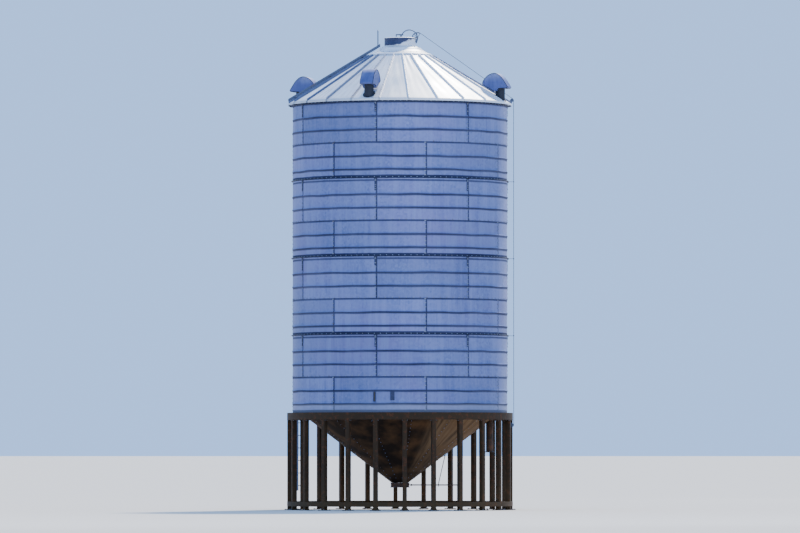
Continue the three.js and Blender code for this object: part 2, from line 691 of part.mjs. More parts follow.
part('hand_winch', fuse([
  alongDrum(DRUM_FROM, DRUM_TO, DRUM_RADIUS, DRUM_SIDES),
  alongDrum(DRUM_FROM - DRUM_FLANGE_THICKNESS, DRUM_FROM, DRUM_RADIUS + DRUM_FLANGE, DRUM_SIDES),
  alongDrum(DRUM_TO - DRUM_FLANGE_THICKNESS, DRUM_TO, DRUM_RADIUS + DRUM_FLANGE, DRUM_SIDES),
  box(
    [drumX - WINCH_PLATE_INNER, WINCH_PLATE_FROM, CABLE_BOTTOM - WINCH_PLATE_HALF_HEIGHT],
    [drumX + WINCH_PLATE_OUTER, WINCH_PLATE_TO, CABLE_BOTTOM + WINCH_PLATE_HALF_HEIGHT],
  ),
  alongDrum(CRANK_Y - CRANK_BAR_RADIUS, DRUM_FROM, CRANK_BAR_RADIUS, 8),
  rod([drumX, CRANK_Y, CABLE_BOTTOM], [drumX, CRANK_Y, CABLE_BOTTOM - CRANK_LENGTH], CRANK_BAR_RADIUS),
  rod(
    [drumX, CRANK_Y, CABLE_BOTTOM - CRANK_LENGTH],
    [drumX, CRANK_END_Y, CABLE_BOTTOM - CRANK_LENGTH],
    CRANK_GRIP_RADIUS,
  ),
]), plainSteel());

// Roof vents: four hoods near the eave, each on a round neck. A hood's side is a half round whose underside
// lies parallel to the roof, and its mouth opens downwards past the neck.
const VENT_RADIUS = 2395;
const VENT_Z = 10018;
const HOOD_HALF = 160;
const HOOD_CHEEK = 10;
const HOOD_FLOOR = -58;
const NECK_AT = 2480;
const NECK_RADIUS = 112;
const NECK_SIDES = 20;
const NECK_SUNK = 30;
const NECK_FROM = 9500;
const ROOF_CLEAR = 1;
const BELOW_ROOF = 9000;
const HOOD_TOP_STEPS = 18;
const hoodTop = new THREE.SplineCurve([
  new THREE.Vector2(312, -24),
  new THREE.Vector2(245, 87),
  new THREE.Vector2(165, 202),
  new THREE.Vector2(80, 279),
  new THREE.Vector2(5, 310),
  new THREE.Vector2(-75, 305),
  new THREE.Vector2(-164, 269),
  new THREE.Vector2(-240, 202),
  new THREE.Vector2(-300, 115),
  new THREE.Vector2(-312, 45),
]).getPoints(HOOD_TOP_STEPS);
const hoodOutline = placed([
  ...hoodTop.map((point) => point.toArray()),
  [-22, -129],
  [45, -118],
  [80, HOOD_FLOOR],
  [295, -48],
], VENT_RADIUS, VENT_Z);
const mouthOutline = placed([
  [208, -90],
  [284, -90],
  [294, -30],
  [230, 84],
  [208, 114],
], VENT_RADIUS, VENT_Z);

function ventHood() {
  const hood = plateXZ(hoodOutline, -HOOD_HALF, HOOD_HALF);
  const mouth = plateXZ(mouthOutline, -HOOD_HALF + HOOD_CHEEK, HOOD_HALF - HOOD_CHEEK);
  const neckTop = VENT_Z + HOOD_FLOOR + NECK_SUNK;
  const neck = rod([NECK_AT, 0, NECK_FROM], [NECK_AT, 0, neckTop], NECK_RADIUS, NECK_SIDES);
  const roofSpace = revolve([
    [0, roofTop(0) + ROOF_CLEAR],
    [0, BELOW_ROOF],
    [EAVE_RADIUS, BELOW_ROOF],
    [EAVE_RADIUS, EAVE_HEIGHT + ROOF_CLEAR],
  ], ROUND_SEGMENTS, THREE.MathUtils.degToRad(RIB_AZIMUTH - VENT_AZIMUTH + 90));
  return hood.subtract(mouth).add(neck).subtract(roofSpace).rotate([0, 0, -90]);
}

const hood = ventHood();
['front', 'right', 'back', 'left'].forEach((side, index) => {
  const azimuth = VENT_AZIMUTH + index * 360 / VENT_COUNT;
  part(`vent_${side}`, hood, ventSteel(), turnedTo(azimuth));
});

// Roof ladder: two flat stiles and rungs on cross bars that rest on the roof's ribs, with a hand hoop
const LADDER_HALF = 200;
const STILE_THICKNESS = 10;
const STILE_DEPTH = 40;
const RUNG_RADIUS = 10;
const RUNG_SIDES = 6;
const RUNG_PITCH = 300;
const FIRST_RUNG = 60;
const ROOF_LADDER_TOP = 470;
const ROOF_LADDER_FOOT = EAVE_RADIUS - 6;
const LADDER_LIFT = RIB_HEIGHT + 14;
const BAR_RADII = [2480, 1650, 900];
const BAR_HALF_WIDTH = 20;
const BAR_PAST = 30;
const BAR_OVERLAP = 2;
const NEAR_RIB = THREE.MathUtils.degToRad(4.5);
const FAR_RIB = THREE.MathUtils.degToRad(10.5);
const HOOP_TOP = 11385;
const HOOP_RADIUS = ROOF_LADDER_TOP + 55;
const HOOP_BAR_RADIUS = 12;
const HOOP_CORNER = 60;
const HOOP_CORNER_MIDDLE = 18;

function roofLadder() {
  const stiles = [-1, 1].map((side) => slopeBar(
    roofTop,
    ROOF_SLOPE,
    [side * LADDER_HALF - STILE_THICKNESS / 2, side * LADDER_HALF + STILE_THICKNESS / 2],
    [ROOF_LADDER_TOP, ROOF_LADDER_FOOT],
    [LADDER_LIFT, LADDER_LIFT + STILE_DEPTH],
  ));
  const rise = (LADDER_LIFT + STILE_DEPTH / 2) / Math.cos(ROOF_SLOPE);
  const step = RUNG_PITCH * Math.cos(ROOF_SLOPE);
  const rungCount = Math.floor((ROOF_LADDER_FOOT - ROOF_LADDER_TOP) / step);
  const rungs = Array.from({ length: rungCount }, (_, index) => {
    const radius = ROOF_LADDER_FOOT - FIRST_RUNG - index * step;
    const height = roofTop(radius) + rise;
    return rod([-LADDER_HALF, -radius, height], [LADDER_HALF, -radius, height], RUNG_RADIUS, RUNG_SIDES);
  });
  // A bar lies flat, so it stands off the round roof by the sag of the cone at the rib that it rests on
  const ribEdge = (radius) => radius * Math.sin(NEAR_RIB) - RIB_WIDTH / 2;
  const sag = (radius) => ribEdge(radius) ** 2 / (2 * radius) * Math.sin(ROOF_SLOPE);
  const bars = BAR_RADII.map((radius) => slopeBar(
    roofTop,
    ROOF_SLOPE,
    [-radius * Math.sin(FAR_RIB) - BAR_PAST, LADDER_HALF + BAR_PAST],
    [radius - BAR_HALF_WIDTH, radius + BAR_HALF_WIDTH],
    [RIB_HEIGHT + 2 * SEAT_GAP - sag(radius), LADDER_LIFT + BAR_OVERLAP],
  ));
  const hoopFoot = roofTop(HOOP_RADIUS) + rise;
  const hoopSide = (side) => [
    [side * LADDER_HALF, -HOOP_RADIUS, hoopFoot],
    [side * LADDER_HALF, -HOOP_RADIUS, HOOP_TOP - HOOP_CORNER],
    [side * (LADDER_HALF - HOOP_CORNER_MIDDLE), -HOOP_RADIUS, HOOP_TOP - HOOP_CORNER_MIDDLE],
    [side * (LADDER_HALF - HOOP_CORNER), -HOOP_RADIUS, HOOP_TOP],
  ];
  const hoop = tube([...hoopSide(-1), ...hoopSide(1).reverse()], HOOP_BAR_RADIUS);
  return fuse([...stiles, ...rungs, ...bars, hoop]);
}

part('roof_ladder', roofLadder(), plainSteel(), turnedTo(ROOF_LADDER_AZIMUTH));

// Wall ladder at the back left, on stand-off cleats at the rings and the beam
const WALL_LADDER_INNER = 2692;
const WALL_LADDER_LOW = 450;
const WALL_LADDER_HIGH = 9780;
const WALL_LADDER_FIRST_RUNG = 120;
const CLEAT_HALF_HEIGHT = 12;
const CLEAT_PAST = 4;
const CLEAT_OVERLAP = 5;

function wallLadder() {
  const inner = -WALL_LADDER_INNER;
  const outer = inner - STILE_DEPTH;
  const sides = [-LADDER_HALF, LADDER_HALF];
  const stiles = sides.map((x) => box(
    [x - STILE_THICKNESS / 2, outer, WALL_LADDER_LOW],
    [x + STILE_THICKNESS / 2, inner, WALL_LADDER_HIGH],
  ));
  const rungCount = Math.floor((WALL_LADDER_HIGH - WALL_LADDER_LOW) / RUNG_PITCH);
  const middle = (inner + outer) / 2;
  const rungs = Array.from({ length: rungCount }, (_, index) => {
    const height = WALL_LADDER_LOW + WALL_LADDER_FIRST_RUNG + index * RUNG_PITCH;
    return rod([-LADDER_HALF, middle, height], [LADDER_HALF, middle, height], RUNG_RADIUS, RUNG_SIDES);
  });
  const seats = [1, 2, 3].map((index) => [jointHeight(index), WALL_RADIUS + JOINT_RING_REACH]);
  seats.push([(RING_BEAM_BOTTOM + WALL_BASE) / 2, RING_BEAM_OUTER]);
  seats.push([WALL_TOP - EAVE_RING_DEPTH + CLEAT_HALF_HEIGHT, EAVE_RING_OUTER]);
  const cleats = seats.map(([height, radius]) => box(
    [-LADDER_HALF - CLEAT_PAST, inner - CLEAT_OVERLAP, height - CLEAT_HALF_HEIGHT],
    [LADDER_HALF + CLEAT_PAST, -radius - SEAT_GAP, height + CLEAT_HALF_HEIGHT],
  ));
  return fuse([...stiles, ...rungs, ...cleats]);
}

part('wall_ladder', wallLadder(), plainSteel(), turnedTo(WALL_LADDER_AZIMUTH));

// Aeration inlet: a short duct out of the hopper's right side, turned down and flanged at its mouth
const DUCT_RADIUS = 85;
const DUCT_X = 2120;
const DUCT_Y = -250;
const DUCT_BOTTOM = 1380;
const DUCT_TOP = 2300;
const DUCT_FLANGE = 28;
const DUCT_FLANGE_THICKNESS = 16;
const DUCT_SIDES = 20;
const HOPPER_CLEAR = 0.5;
const hopperSpace = revolve([
  [0, hopperOutside(0) - HOPPER_CLEAR],
  [EAVE_RADIUS, hopperOutside(EAVE_RADIUS) - HOPPER_CLEAR],
  [EAVE_RADIUS, WALL_BASE + TIER_HEIGHT],
  [0, WALL_BASE + TIER_HEIGHT],
]);
const duct = fuse([
  rod([DUCT_X, DUCT_Y, DUCT_BOTTOM], [DUCT_X, DUCT_Y, DUCT_TOP], DUCT_RADIUS, DUCT_SIDES),
  rod(
    [DUCT_X, DUCT_Y, DUCT_BOTTOM - DUCT_FLANGE_THICKNESS],
    [DUCT_X, DUCT_Y, DUCT_BOTTOM],
    DUCT_RADIUS + DUCT_FLANGE,
    DUCT_SIDES,
  ),
]);
part('aeration_inlet', duct.subtract(hopperSpace), rustedSteel());

export default silo;
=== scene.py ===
import math

import bmesh
import bpy
import numpy as np
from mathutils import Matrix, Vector


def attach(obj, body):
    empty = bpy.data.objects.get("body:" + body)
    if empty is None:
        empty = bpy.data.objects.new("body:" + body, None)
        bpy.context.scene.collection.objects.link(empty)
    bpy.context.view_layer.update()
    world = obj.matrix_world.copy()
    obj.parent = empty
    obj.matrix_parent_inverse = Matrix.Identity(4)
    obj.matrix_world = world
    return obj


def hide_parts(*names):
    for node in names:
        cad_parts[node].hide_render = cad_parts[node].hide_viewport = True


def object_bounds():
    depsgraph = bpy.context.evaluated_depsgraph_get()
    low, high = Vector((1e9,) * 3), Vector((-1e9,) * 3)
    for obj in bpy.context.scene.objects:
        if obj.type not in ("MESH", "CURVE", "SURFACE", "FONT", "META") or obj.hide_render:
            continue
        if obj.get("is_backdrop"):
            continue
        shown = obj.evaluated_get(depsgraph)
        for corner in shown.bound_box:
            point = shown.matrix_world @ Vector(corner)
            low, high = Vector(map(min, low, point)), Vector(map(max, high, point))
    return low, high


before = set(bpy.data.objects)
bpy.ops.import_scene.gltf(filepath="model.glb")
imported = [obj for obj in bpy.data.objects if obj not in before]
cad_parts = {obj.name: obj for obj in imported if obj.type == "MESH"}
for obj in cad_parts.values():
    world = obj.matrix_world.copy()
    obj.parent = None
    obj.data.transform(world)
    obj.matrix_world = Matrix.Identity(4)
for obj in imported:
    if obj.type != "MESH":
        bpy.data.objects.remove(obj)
cad_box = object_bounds()


# Camera: the silo was photographed from the ground about a hundred and fifty metres away with a long lens, so
# its sides look parallel and its rings almost straight. The lens is longer here, to fill the frame.
photo_camera = bpy.data.cameras.new("photo_camera")
photo_camera.sensor_width = 36.0
photo_camera.lens = 284.3
photo_camera.clip_end = 6000.0
camera = bpy.data.objects.new("photo_camera", photo_camera)
UPWARD_TILT = 1.69
camera.location = (0.0, -150.0, 1.35)
camera.rotation_euler = (math.radians(90 + UPWARD_TILT), 0.0, 0.0)
bpy.context.scene.collection.objects.link(camera)
bpy.context.scene.camera = camera


# Floor and light: a plain pale floor, a pale bluish sky light from all round, a warm key light high behind
# the right shoulder, where the sun stood, one large soft panel in front that opens up the shaded side, and a
# weak one behind the right side.
def linear(colour):
    """An sRGB hex colour as linear red, green, blue and alpha."""
    values = [int(colour[place:place + 2], 16) / 255 for place in (1, 3, 5)]
    return [v / 12.92 if v <= 0.04045 else ((v + 0.055) / 1.055) ** 2.4 for v in values] + [1.0]


def add(tree, kind, *values, **named):
    """Adds a node. Its inputs in use are given in order, or by name with a capital letter, and its settings by
    name without one. An input takes a value, an sRGB hex colour, an output, or a node for its first output."""
    made = tree.nodes.new(kind if kind.startswith(("Geometry", "Function")) else "ShaderNode" + kind)
    for name in [name for name in named if name[0].islower()]:
        setattr(made, name, named.pop(name))
    inputs = [socket for socket in made.inputs if socket.enabled][:len(values)]
    inputs += [made.inputs[name.replace("_", " ")] for name in named]
    for socket, value in zip(inputs, [*values, *named.values()]):
        if isinstance(value, bpy.types.Node):
            value = next(output for output in value.outputs if output.enabled)
        if isinstance(value, bpy.types.NodeSocket):
            tree.links.new(value, socket)
        else:
            socket.default_value = linear(value) if str(value).startswith("#") else value
    return made


def new_material(name):
    """An empty material and its node tree."""
    made = bpy.data.materials.new(name)
    made.use_nodes = True
    made.node_tree.nodes.clear()
    return made, made.node_tree


pale_floor, tree = new_material("pale_floor_paint")
# Matt floor paint: an even, pale warm grey with faint clouds in it, which takes the shadows softly.
grain = add(tree, "TexNoise", Scale=0.6, Detail=3.0)
shade = add(tree, "Mix", grain, "#c9c6bf", "#d3d0c9", data_type="RGBA")
add(tree, "OutputMaterial", Surface=add(tree, "BsdfPrincipled", Base_Color=shade, Roughness=0.9))

floor_mesh = bpy.data.meshes.new("floor")
floor_mesh.from_pydata([(-2500, -2500, 0), (2500, -2500, 0), (2500, 2500, 0), (-2500, 2500, 0)], [],
                       [(0, 1, 2, 3)])
floor_mesh.materials.append(pale_floor)
floor = bpy.data.objects.new("floor", floor_mesh)
bpy.context.scene.collection.objects.link(floor)
floor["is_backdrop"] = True

sky = bpy.data.worlds.new("pale_sky")
sky.use_nodes = True
sky.node_tree.nodes["Background"].inputs["Color"].default_value = linear("#9cc3fc")
sky.node_tree.nodes["Background"].inputs["Strength"].default_value = 1.6
bpy.context.scene.world = sky


def shine(name, kind, colour, energy, place, toward, **settings):
    """A lamp at a place, aimed at another, with its colour, energy and other settings."""
    lamp = bpy.data.lights.new(name, kind)
    lamp.color, lamp.energy = linear(colour)[:3], energy
    for setting, value in settings.items():
        setattr(lamp, setting, value)
    made = bpy.data.objects.new(name, lamp)
    made.location = place
    made.rotation_euler = (Vector(place) - Vector(toward)).to_track_quat("Z", "Y").to_euler()
    bpy.context.scene.collection.objects.link(made)


SUN_AZIMUTH, SUN_HEIGHT = math.radians(157), math.radians(48)
MIDDLE = (0.0, 0.0, 6.0)
toward_sun = Vector((math.sin(SUN_AZIMUTH) * math.cos(SUN_HEIGHT), -math.cos(SUN_AZIMUTH) * math.cos(SUN_HEIGHT),
                     math.sin(SUN_HEIGHT)))
shine("sun", "SUN", "#fff3e2", 6.2, (0.0, 0.0, 0.0), -toward_sun, angle=math.radians(6))
shine("front_panel", "AREA", "#dfe9fb", 2600.0, (9.0, -32.0, 14.0), MIDDLE, shape="RECTANGLE", size=44.0,
      size_y=14.0)
shine("rim_panel", "AREA", "#fff8ee", 700.0, (22.0, 36.0, 9.0), MIDDLE, shape="RECTANGLE", size=8.0, size_y=16.0)


# Wall: four tiers, each of two courses of seven galvanised steel sheets, rolled to the silo's radius and
# stiffened by two outward beads a course. Sheets lap 40 mm at their ends and 30 mm from course to course,
# and hex bolts close every lap.
WALL_RADIUS = 2.550
WALL_BASE = 2.300
TIER_HEIGHT = 1.830
TIERS = 4
SHEETS_ROUND = 7
SHEET_THICKNESS = 0.003
END_LAP = 0.040
COURSE_LAP = 0.030
UPPER_COURSE = 0.990
BEAD_HALF_WIDTH = 0.030
BEAD_HEIGHT = 0.015
BEADS_BELOW_JOINT = (0.38, 0.69, 1.31, 1.62)
LAP_BOLTS_ROUND = 98
LAP_BOLT_PITCH = 0.095
LAP_BOLT_OFFSET = 0.011
BOLT_FROM_BEAD = 0.026
SHEET_DENT, TOP_SHEET_DENT = 0.0028, 0.0045
UPPER_SEAM = -13.5
LOWER_SEAM = -38.5
TURN = 2 * math.pi
SHEET_ANGLE = TURN / SHEETS_ROUND


def keep(mesh, material, slot, *replaces, body="silo"):
    """Puts a finished mesh in the scene as a piece: its material, the CAD nodes it replaces and its body."""
    made = bpy.data.objects.new(mesh.name, mesh)
    mesh.materials.clear()
    mesh.materials.append(material)
    bpy.context.scene.collection.objects.link(made)
    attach(made, body)
    if replaces:
        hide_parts(*replaces)


def smooth(mesh, sharp):
    """Smooths a mesh except where faces meet at more than an angle in degrees."""
    mesh.polygons.foreach_set("use_smooth", [True] * len(mesh.polygons))
    mesh.set_sharp_from_angle(angle=math.radians(sharp))


def mesh_of(name, solid, sharp=35.0):
    """A mesh from points and faces, smooth except where faces meet at more than the sharp angle in degrees."""
    mesh = bpy.data.meshes.new(name)
    mesh.from_pydata(np.asarray(solid[0], float).tolist(), [], solid[1])
    smooth(mesh, sharp)
    mesh.update()
    return mesh


def plate(outer, inner):
    """Points and faces of a closed plate between two grids of points, the first one outside."""
    across, along = outer.shape[:2]
    count = across * along
    index = np.arange(count).reshape(across, along)
    skin = np.stack([index[:-1, :-1], index[1:, :-1], index[1:, 1:], index[:-1, 1:]], -1).reshape(-1, 4)
    back = skin[:, ::-1] + count
    rims = []
    for edge in (index[:, 0], index[-1, :], index[::-1, -1], index[0, ::-1]):
        rims.append(np.stack([edge[:-1], edge[:-1] + count, edge[1:] + count, edge[1:]], -1))
    points = np.concatenate([outer.reshape(-1, 3), inner.reshape(-1, 3)])
    return points, np.concatenate([skin, back, *rims]).tolist()


def join(parts):
    """Several lists of points and faces as one."""
    points, faces, start = [], [], 0
    for some_points, some_faces in parts:
        points.append(np.asarray(some_points, float))
        faces += [[start + corner for corner in face] for face in some_faces]
        start += len(some_points)
    return np.concatenate(points), faces


def round_about(radius, azimuth, height):
    """Points at a radius, an azimuth from the front towards the right in radians, and a height."""
    radius, azimuth, height = np.broadcast_arrays(radius, azimuth, height)
    return np.stack([radius * np.sin(azimuth), -radius * np.cos(azimuth), height], -1)


def angles(count, first=0.0):
    """As many azimuths or angles, evenly spaced round a turn, from a first one in degrees."""
    return math.radians(first) + np.arange(count) * TURN / count


def outward(radius, azimuth, height):
    """Places round the silo's axis, and the level direction away from it at each."""
    return round_about(radius, azimuth, height), round_about(1.0, azimuth, 0.0)


def bead(height, places):
    """How far a rounded bead stands out at a height, for beads at several places."""
    off = np.min([np.abs(height - place) for place in places], axis=0) / BEAD_HALF_WIDTH
    return BEAD_HEIGHT * np.where(off < 1, 0.5 + 0.5 * np.cos(np.pi * np.clip(off, 0, 1)), 0.0)


def steps_between(low, high, beads):
    """Heights from low to high, close together over each bead and wide apart on the flats."""
    shares = np.array([-1, -0.72, -0.45, -0.2, 0, 0.2, 0.45, 0.72, 1])
    stops = [low, low + 0.015, high - 0.015, high]
    for place in beads:
        stops += list(place + shares * BEAD_HALF_WIDTH)
    stops = np.unique(np.round([stop for stop in stops if low <= stop <= high], 5))
    filled = [stops[0]]
    for stop in stops[1:]:
        pieces = max(1, math.ceil((stop - filled[-1]) / 0.075))
        filled += list(np.linspace(filled[-1], stop, pieces + 1)[1:])
    return np.array(filled)


def dents(rng, along, up, size):
    """Shallow hollows and swellings of thin sheet between its bolted edges, nothing at the edges themselves."""
    field = np.zeros_like(along * up)
    for _ in range(7):
        waves, rise = rng.uniform(0.6, 3.0), rng.uniform(0.5, 2.4)
        field = field + rng.uniform(0.4, 1.0) * np.sin(
            TURN * (waves * along + rise * up) + rng.uniform(0, 6.28)
        )
    window = np.sin(np.pi * np.clip(along, 0, 1)) ** 0.7 * np.sin(np.pi * np.clip(up, 0, 1)) ** 0.7
    return size * field / 3.0 * window


def mark(mesh, name, values):
    """Stores one number a point on a mesh, for its material to read."""
    mesh.attributes.new(name, "FLOAT", "POINT").data.foreach_set("value", np.asarray(values, np.float32))


def wall_sheet(rng, start, low, high, beads, over, size):
    """One rolled sheet. Its left end lies on the wall and its right end climbs over the next sheet's left. Its
    beads wander a little up and down between its ends."""
    share = np.linspace(0, 1, 30)[:, None]
    azimuth = start + share * (SHEET_ANGLE + END_LAP / WALL_RADIUS)
    height = steps_between(low, high, beads)[None, :]
    up = (height - low) / (high - low)
    radius = WALL_RADIUS + over + 1.15 * SHEET_THICKNESS * (share - 1) + bead(height, beads)
    radius = radius + dents(rng, share, up, size)
    level = np.broadcast_to(height, radius.shape)
    height = height + dents(rng, share, up, 3.0 * size)
    skin = round_about(radius, azimuth, height)
    across = np.broadcast_to(share * (WALL_RADIUS * SHEET_ANGLE + END_LAP), radius.shape)
    inside = round_about(radius - SHEET_THICKNESS, azimuth, height)
    return plate(skin, inside), np.tile(across.ravel(), 2), np.tile(level.ravel(), 2)


galvanised_sheet, tree = new_material("hot_dip_galvanised_wall_sheet")
# Hot-dip galvanised sheet: a dull satin zinc skin. Its spangle of 10 to 20 mm crystals is drawn 50 mm wide, as
# smaller would not show. Rain has left paler streaks down the sheet. Its blue, with mauve patches, is a painted
# reflection of the sky, and the dark lines under the beads, at the laps and by the rings are painted shade.
place = add(tree, "TexCoord").outputs["Object"]
spangle = add(tree, "TexVoronoi", Vector=place, Scale=20.0, Randomness=1.0).outputs["Color"]
cloud = add(tree, "TexNoise", Vector=place, Scale=0.9, Detail=5.0, Roughness=0.55)
stretch = add(tree, "Mapping", Vector=place, Scale=(5.0, 5.0, 0.35))
streak = add(tree, "TexNoise", Vector=stretch, Scale=1.0, Detail=6.0, Roughness=0.7)
streak_band = add(tree, "MapRange", streak, 0.42, 0.68, 0.0, 1.0)
fine = add(tree, "TexNoise", Vector=place, Scale=38.0, Detail=3.0)
# Blue and mauve tones: a painted reflection of the blue sky on grey zinc.
zinc = add(tree, "Mix", spangle, "#64719f", "#8c98c6", data_type="RGBA")
zinc_cloud = add(tree, "Mix", cloud, zinc, "#636fa3", data_type="RGBA")
mauve_patches = add(tree, "TexNoise", Vector=place, Scale=0.5, Detail=3.0)
mauve_share = add(tree, "MapRange", mauve_patches, 0.48, 0.68, 0.0, 0.5)
zinc_mauve = add(tree, "Mix", mauve_share, zinc_cloud, "#7f76ab", data_type="RGBA")
zinc_streak = add(tree, "Mix", streak_band, zinc_mauve, "#8690bf", data_type="RGBA")
sheet_shade = add(tree, "Attribute", attribute_name="shade").outputs["Fac"]
shaded = add(tree, "Mix", sheet_shade, zinc_streak, "#46527b", data_type="RGBA")
across = add(tree, "Attribute", attribute_name="across").outputs["Fac"]
# Painted shade beside the edge of each vertical lap.
left_lap = add(tree, "MapRange", across, END_LAP + 0.014, END_LAP + 0.038, 1.0, 0.0)
right_end = WALL_RADIUS * SHEET_ANGLE + END_LAP
right_lap = add(tree, "MapRange", across, right_end - 0.016, right_end - 0.008, 0.0, 0.8)
level = add(tree, "Attribute", attribute_name="level").outputs["Fac"]
above_base = add(tree, "Math", level, WALL_BASE, operation="SUBTRACT")
in_tier = add(tree, "Math", above_base, TIER_HEIGHT, operation="MODULO")
tier_share = add(tree, "Math", in_tier, TIER_HEIGHT, operation="DIVIDE")
lines = add(tree, "ValToRGB", tier_share)
stops = lines.color_ramp.elements
stops[0].color, stops[1].color = (1.0, 1.0, 1.0, 1.0), (0.0, 0.0, 0.0, 1.0)
# Dark lines under each bead and lap and on each side of the joint rings: painted shade, made patchy.
soil_and_shade = [(TIER_HEIGHT - UPPER_COURSE, 0.006, 0.046, 1.0), (0.058, 0.006, 0.010, 1.0)]
soil_and_shade += [(TIER_HEIGHT - place_at, 0.006, 0.056, 1.0) for place_at in BEADS_BELOW_JOINT]
soil_and_shade += [(TIER_HEIGHT - 0.048, 0.004, 0.046, 0.9)]
for middle, above, below, darkness in soil_and_shade:
    for offset, value in ((above, 0.0), (above - 0.006, darkness), (-below * 0.7, darkness * 0.85), (-below, 0.0)):
        value = 1.0 if middle < 0.1 and offset < 0 else value
        stop = stops.new((middle + offset) / TIER_HEIGHT)
        stop.color = (value, value, value, 1.0)
foot_dust = add(tree, "MapRange", level, WALL_BASE + 0.17, WALL_BASE + 0.21, 0.26, 0.0)
lap_edge_shade = add(tree, "Math", left_lap, right_lap, operation="MAXIMUM")
line_and_lap_shade = add(tree, "Math", lap_edge_shade, lines, operation="MAXIMUM")
patchy = add(tree, "MapRange", cloud, 0.35, 0.62, 0.82, 1.0)
painted_shade_share = add(tree, "Math", line_and_lap_shade, patchy, operation="MULTIPLY")
toned = add(tree, "Mix", painted_shade_share, shaded, "#131b40", data_type="RGBA")
dusted = add(tree, "Mix", foot_dust, toned, "#a7acba", data_type="RGBA")
dull = add(tree, "MapRange", cloud, 0.3, 0.7, 0.38, 0.56)
dust = add(tree, "Math", dull, streak_band, operation="ADD")
rough = add(tree, "MapRange", dust, 0.3, 1.5, 0.46, 0.60)
ripple = add(tree, "Bump", Height=cloud, Strength=0.18, Distance=0.02)
grainy = add(tree, "Bump", Height=fine, Strength=0.12, Distance=0.002, Normal=ripple)
bare = add(tree, "MapRange", painted_shade_share, To_Min=0.82, To_Max=0.1)
matt = add(tree, "Mix", painted_shade_share, rough, 0.85)
add(tree, "OutputMaterial", Surface=add(tree, "BsdfPrincipled", Base_Color=dusted, Metallic=bare,
                                        Roughness=matt, Normal=grainy))

lap_bolts = []
for tier in range(TIERS):
    rng = np.random.default_rng(40 + tier)
    joint = WALL_BASE + (tier + 1) * TIER_HEIGHT
    lap = joint - UPPER_COURSE
    low, high = joint - TIER_HEIGHT + 0.0005, joint - 0.0005
    beads = [joint - place for place in BEADS_BELOW_JOINT]
    sheets, shades, acrosses, levels = [], [], [], []
    lower_course = (LOWER_SEAM, low, lap + COURSE_LAP, -SHEET_THICKNESS - 0.0008)
    upper_course = (UPPER_SEAM, lap, high, 0.0)
    for first, bottom, top, over in (lower_course, upper_course):
        course_beads = [place for place in beads if bottom + 0.05 < place < top - 0.05]
        for sheet in range(SHEETS_ROUND):
            start = math.radians(first) + sheet * SHEET_ANGLE
            size = TOP_SHEET_DENT if tier == TIERS - 1 else SHEET_DENT
            made, across, level = wall_sheet(rng, start, bottom, top, course_beads, over, size)
            sheets.append(made)
            acrosses.append(across)
            levels.append(level)
            shades.append(np.full(across.size, rng.uniform(0.0, 0.3)))
            heights = np.arange(bottom + 0.06, top - 0.04, LAP_BOLT_PITCH)
            away = heights[np.min([np.abs(heights - place) for place in course_beads], axis=0) > BOLT_FROM_BEAD]
            for side in (-LAP_BOLT_OFFSET, LAP_BOLT_OFFSET):
                seam = start + (END_LAP / 2 + side) / WALL_RADIUS
                lap_bolts.append(outward(WALL_RADIUS + over + 0.0005, seam, away))
    around = angles(LAP_BOLTS_ROUND, LOWER_SEAM + 1.4)
    lap_bolts.append(outward(WALL_RADIUS, around, lap + COURSE_LAP / 2))
    mesh = mesh_of(f"wall_sheets_{tier + 1}", join(sheets), sharp=50.0)
    mark(mesh, "shade", np.concatenate(shades))
    mark(mesh, "across", np.concatenate(acrosses))
    mark(mesh, "level", np.concatenate(levels))
    keep(mesh, galvanised_sheet, "galvanised_wall", f"wall_tier_{tier + 1}")


# Joint rings: a rolled steel angle round each joint between two tiers, its flat leaf standing out from the
# wall and its upright leaf bolted through both tiers. Each ring is in seven lengths with a plate at each joint.
RING_REACH = 0.038
RING_HALF = 0.018
JOINT_PLATE_HALF = 0.10
RING_BOLTS_ROUND = 112
OVER_LAPS = 0.0042


def skinned(rings, close=True):
    """A solid through rings of as many points each. Its last ring meets its first, or else both get a flat end."""
    turns, count = len(rings), len(rings[0])
    faces = []
    for turn in range(turns if close else turns - 1):
        here, there = turn * count, (turn + 1) % turns * count
        for corner in range(count):
            after = (corner + 1) % count
            faces.append([here + corner, here + after, there + after, there + corner])
    if not close:
        faces += [list(range(count))[::-1], list(range((turns - 1) * count, turns * count))]
    return [point for ring in rings for point in ring], faces


def turned(outline, azimuths, close=True):
    """A closed outline of radius and height points swept round the silo's axis through the azimuths."""
    outline = np.asarray(outline, float)
    return skinned([round_about(outline[:, 0], azimuth, outline[:, 1]) for azimuth in azimuths], close)


galvanised_angle, tree = new_material("galvanised_rolled_angle")
# Hot-dip galvanised section, duller than the sheet and slightly mottled, coloured near-black blue as painted
# shade.
place = add(tree, "TexCoord").outputs["Object"]
mottle = add(tree, "TexNoise", Vector=place, Scale=9.0, Detail=5.0)
run = add(tree, "TexNoise", Vector=place, Scale=60.0, Detail=2.0)
painted_shade_coat = add(tree, "Mix", mottle, "#141b37", "#2a3355", data_type="RGBA")
rough = add(tree, "MapRange", mottle, 0.3, 0.7, 0.45, 0.65)
lumps = add(tree, "Bump", Height=run, Strength=0.2, Distance=0.002)
add(tree, "OutputMaterial", Surface=add(tree, "BsdfPrincipled", Base_Color=painted_shade_coat, Metallic=0.5, Roughness=rough,
                                        Normal=lumps))

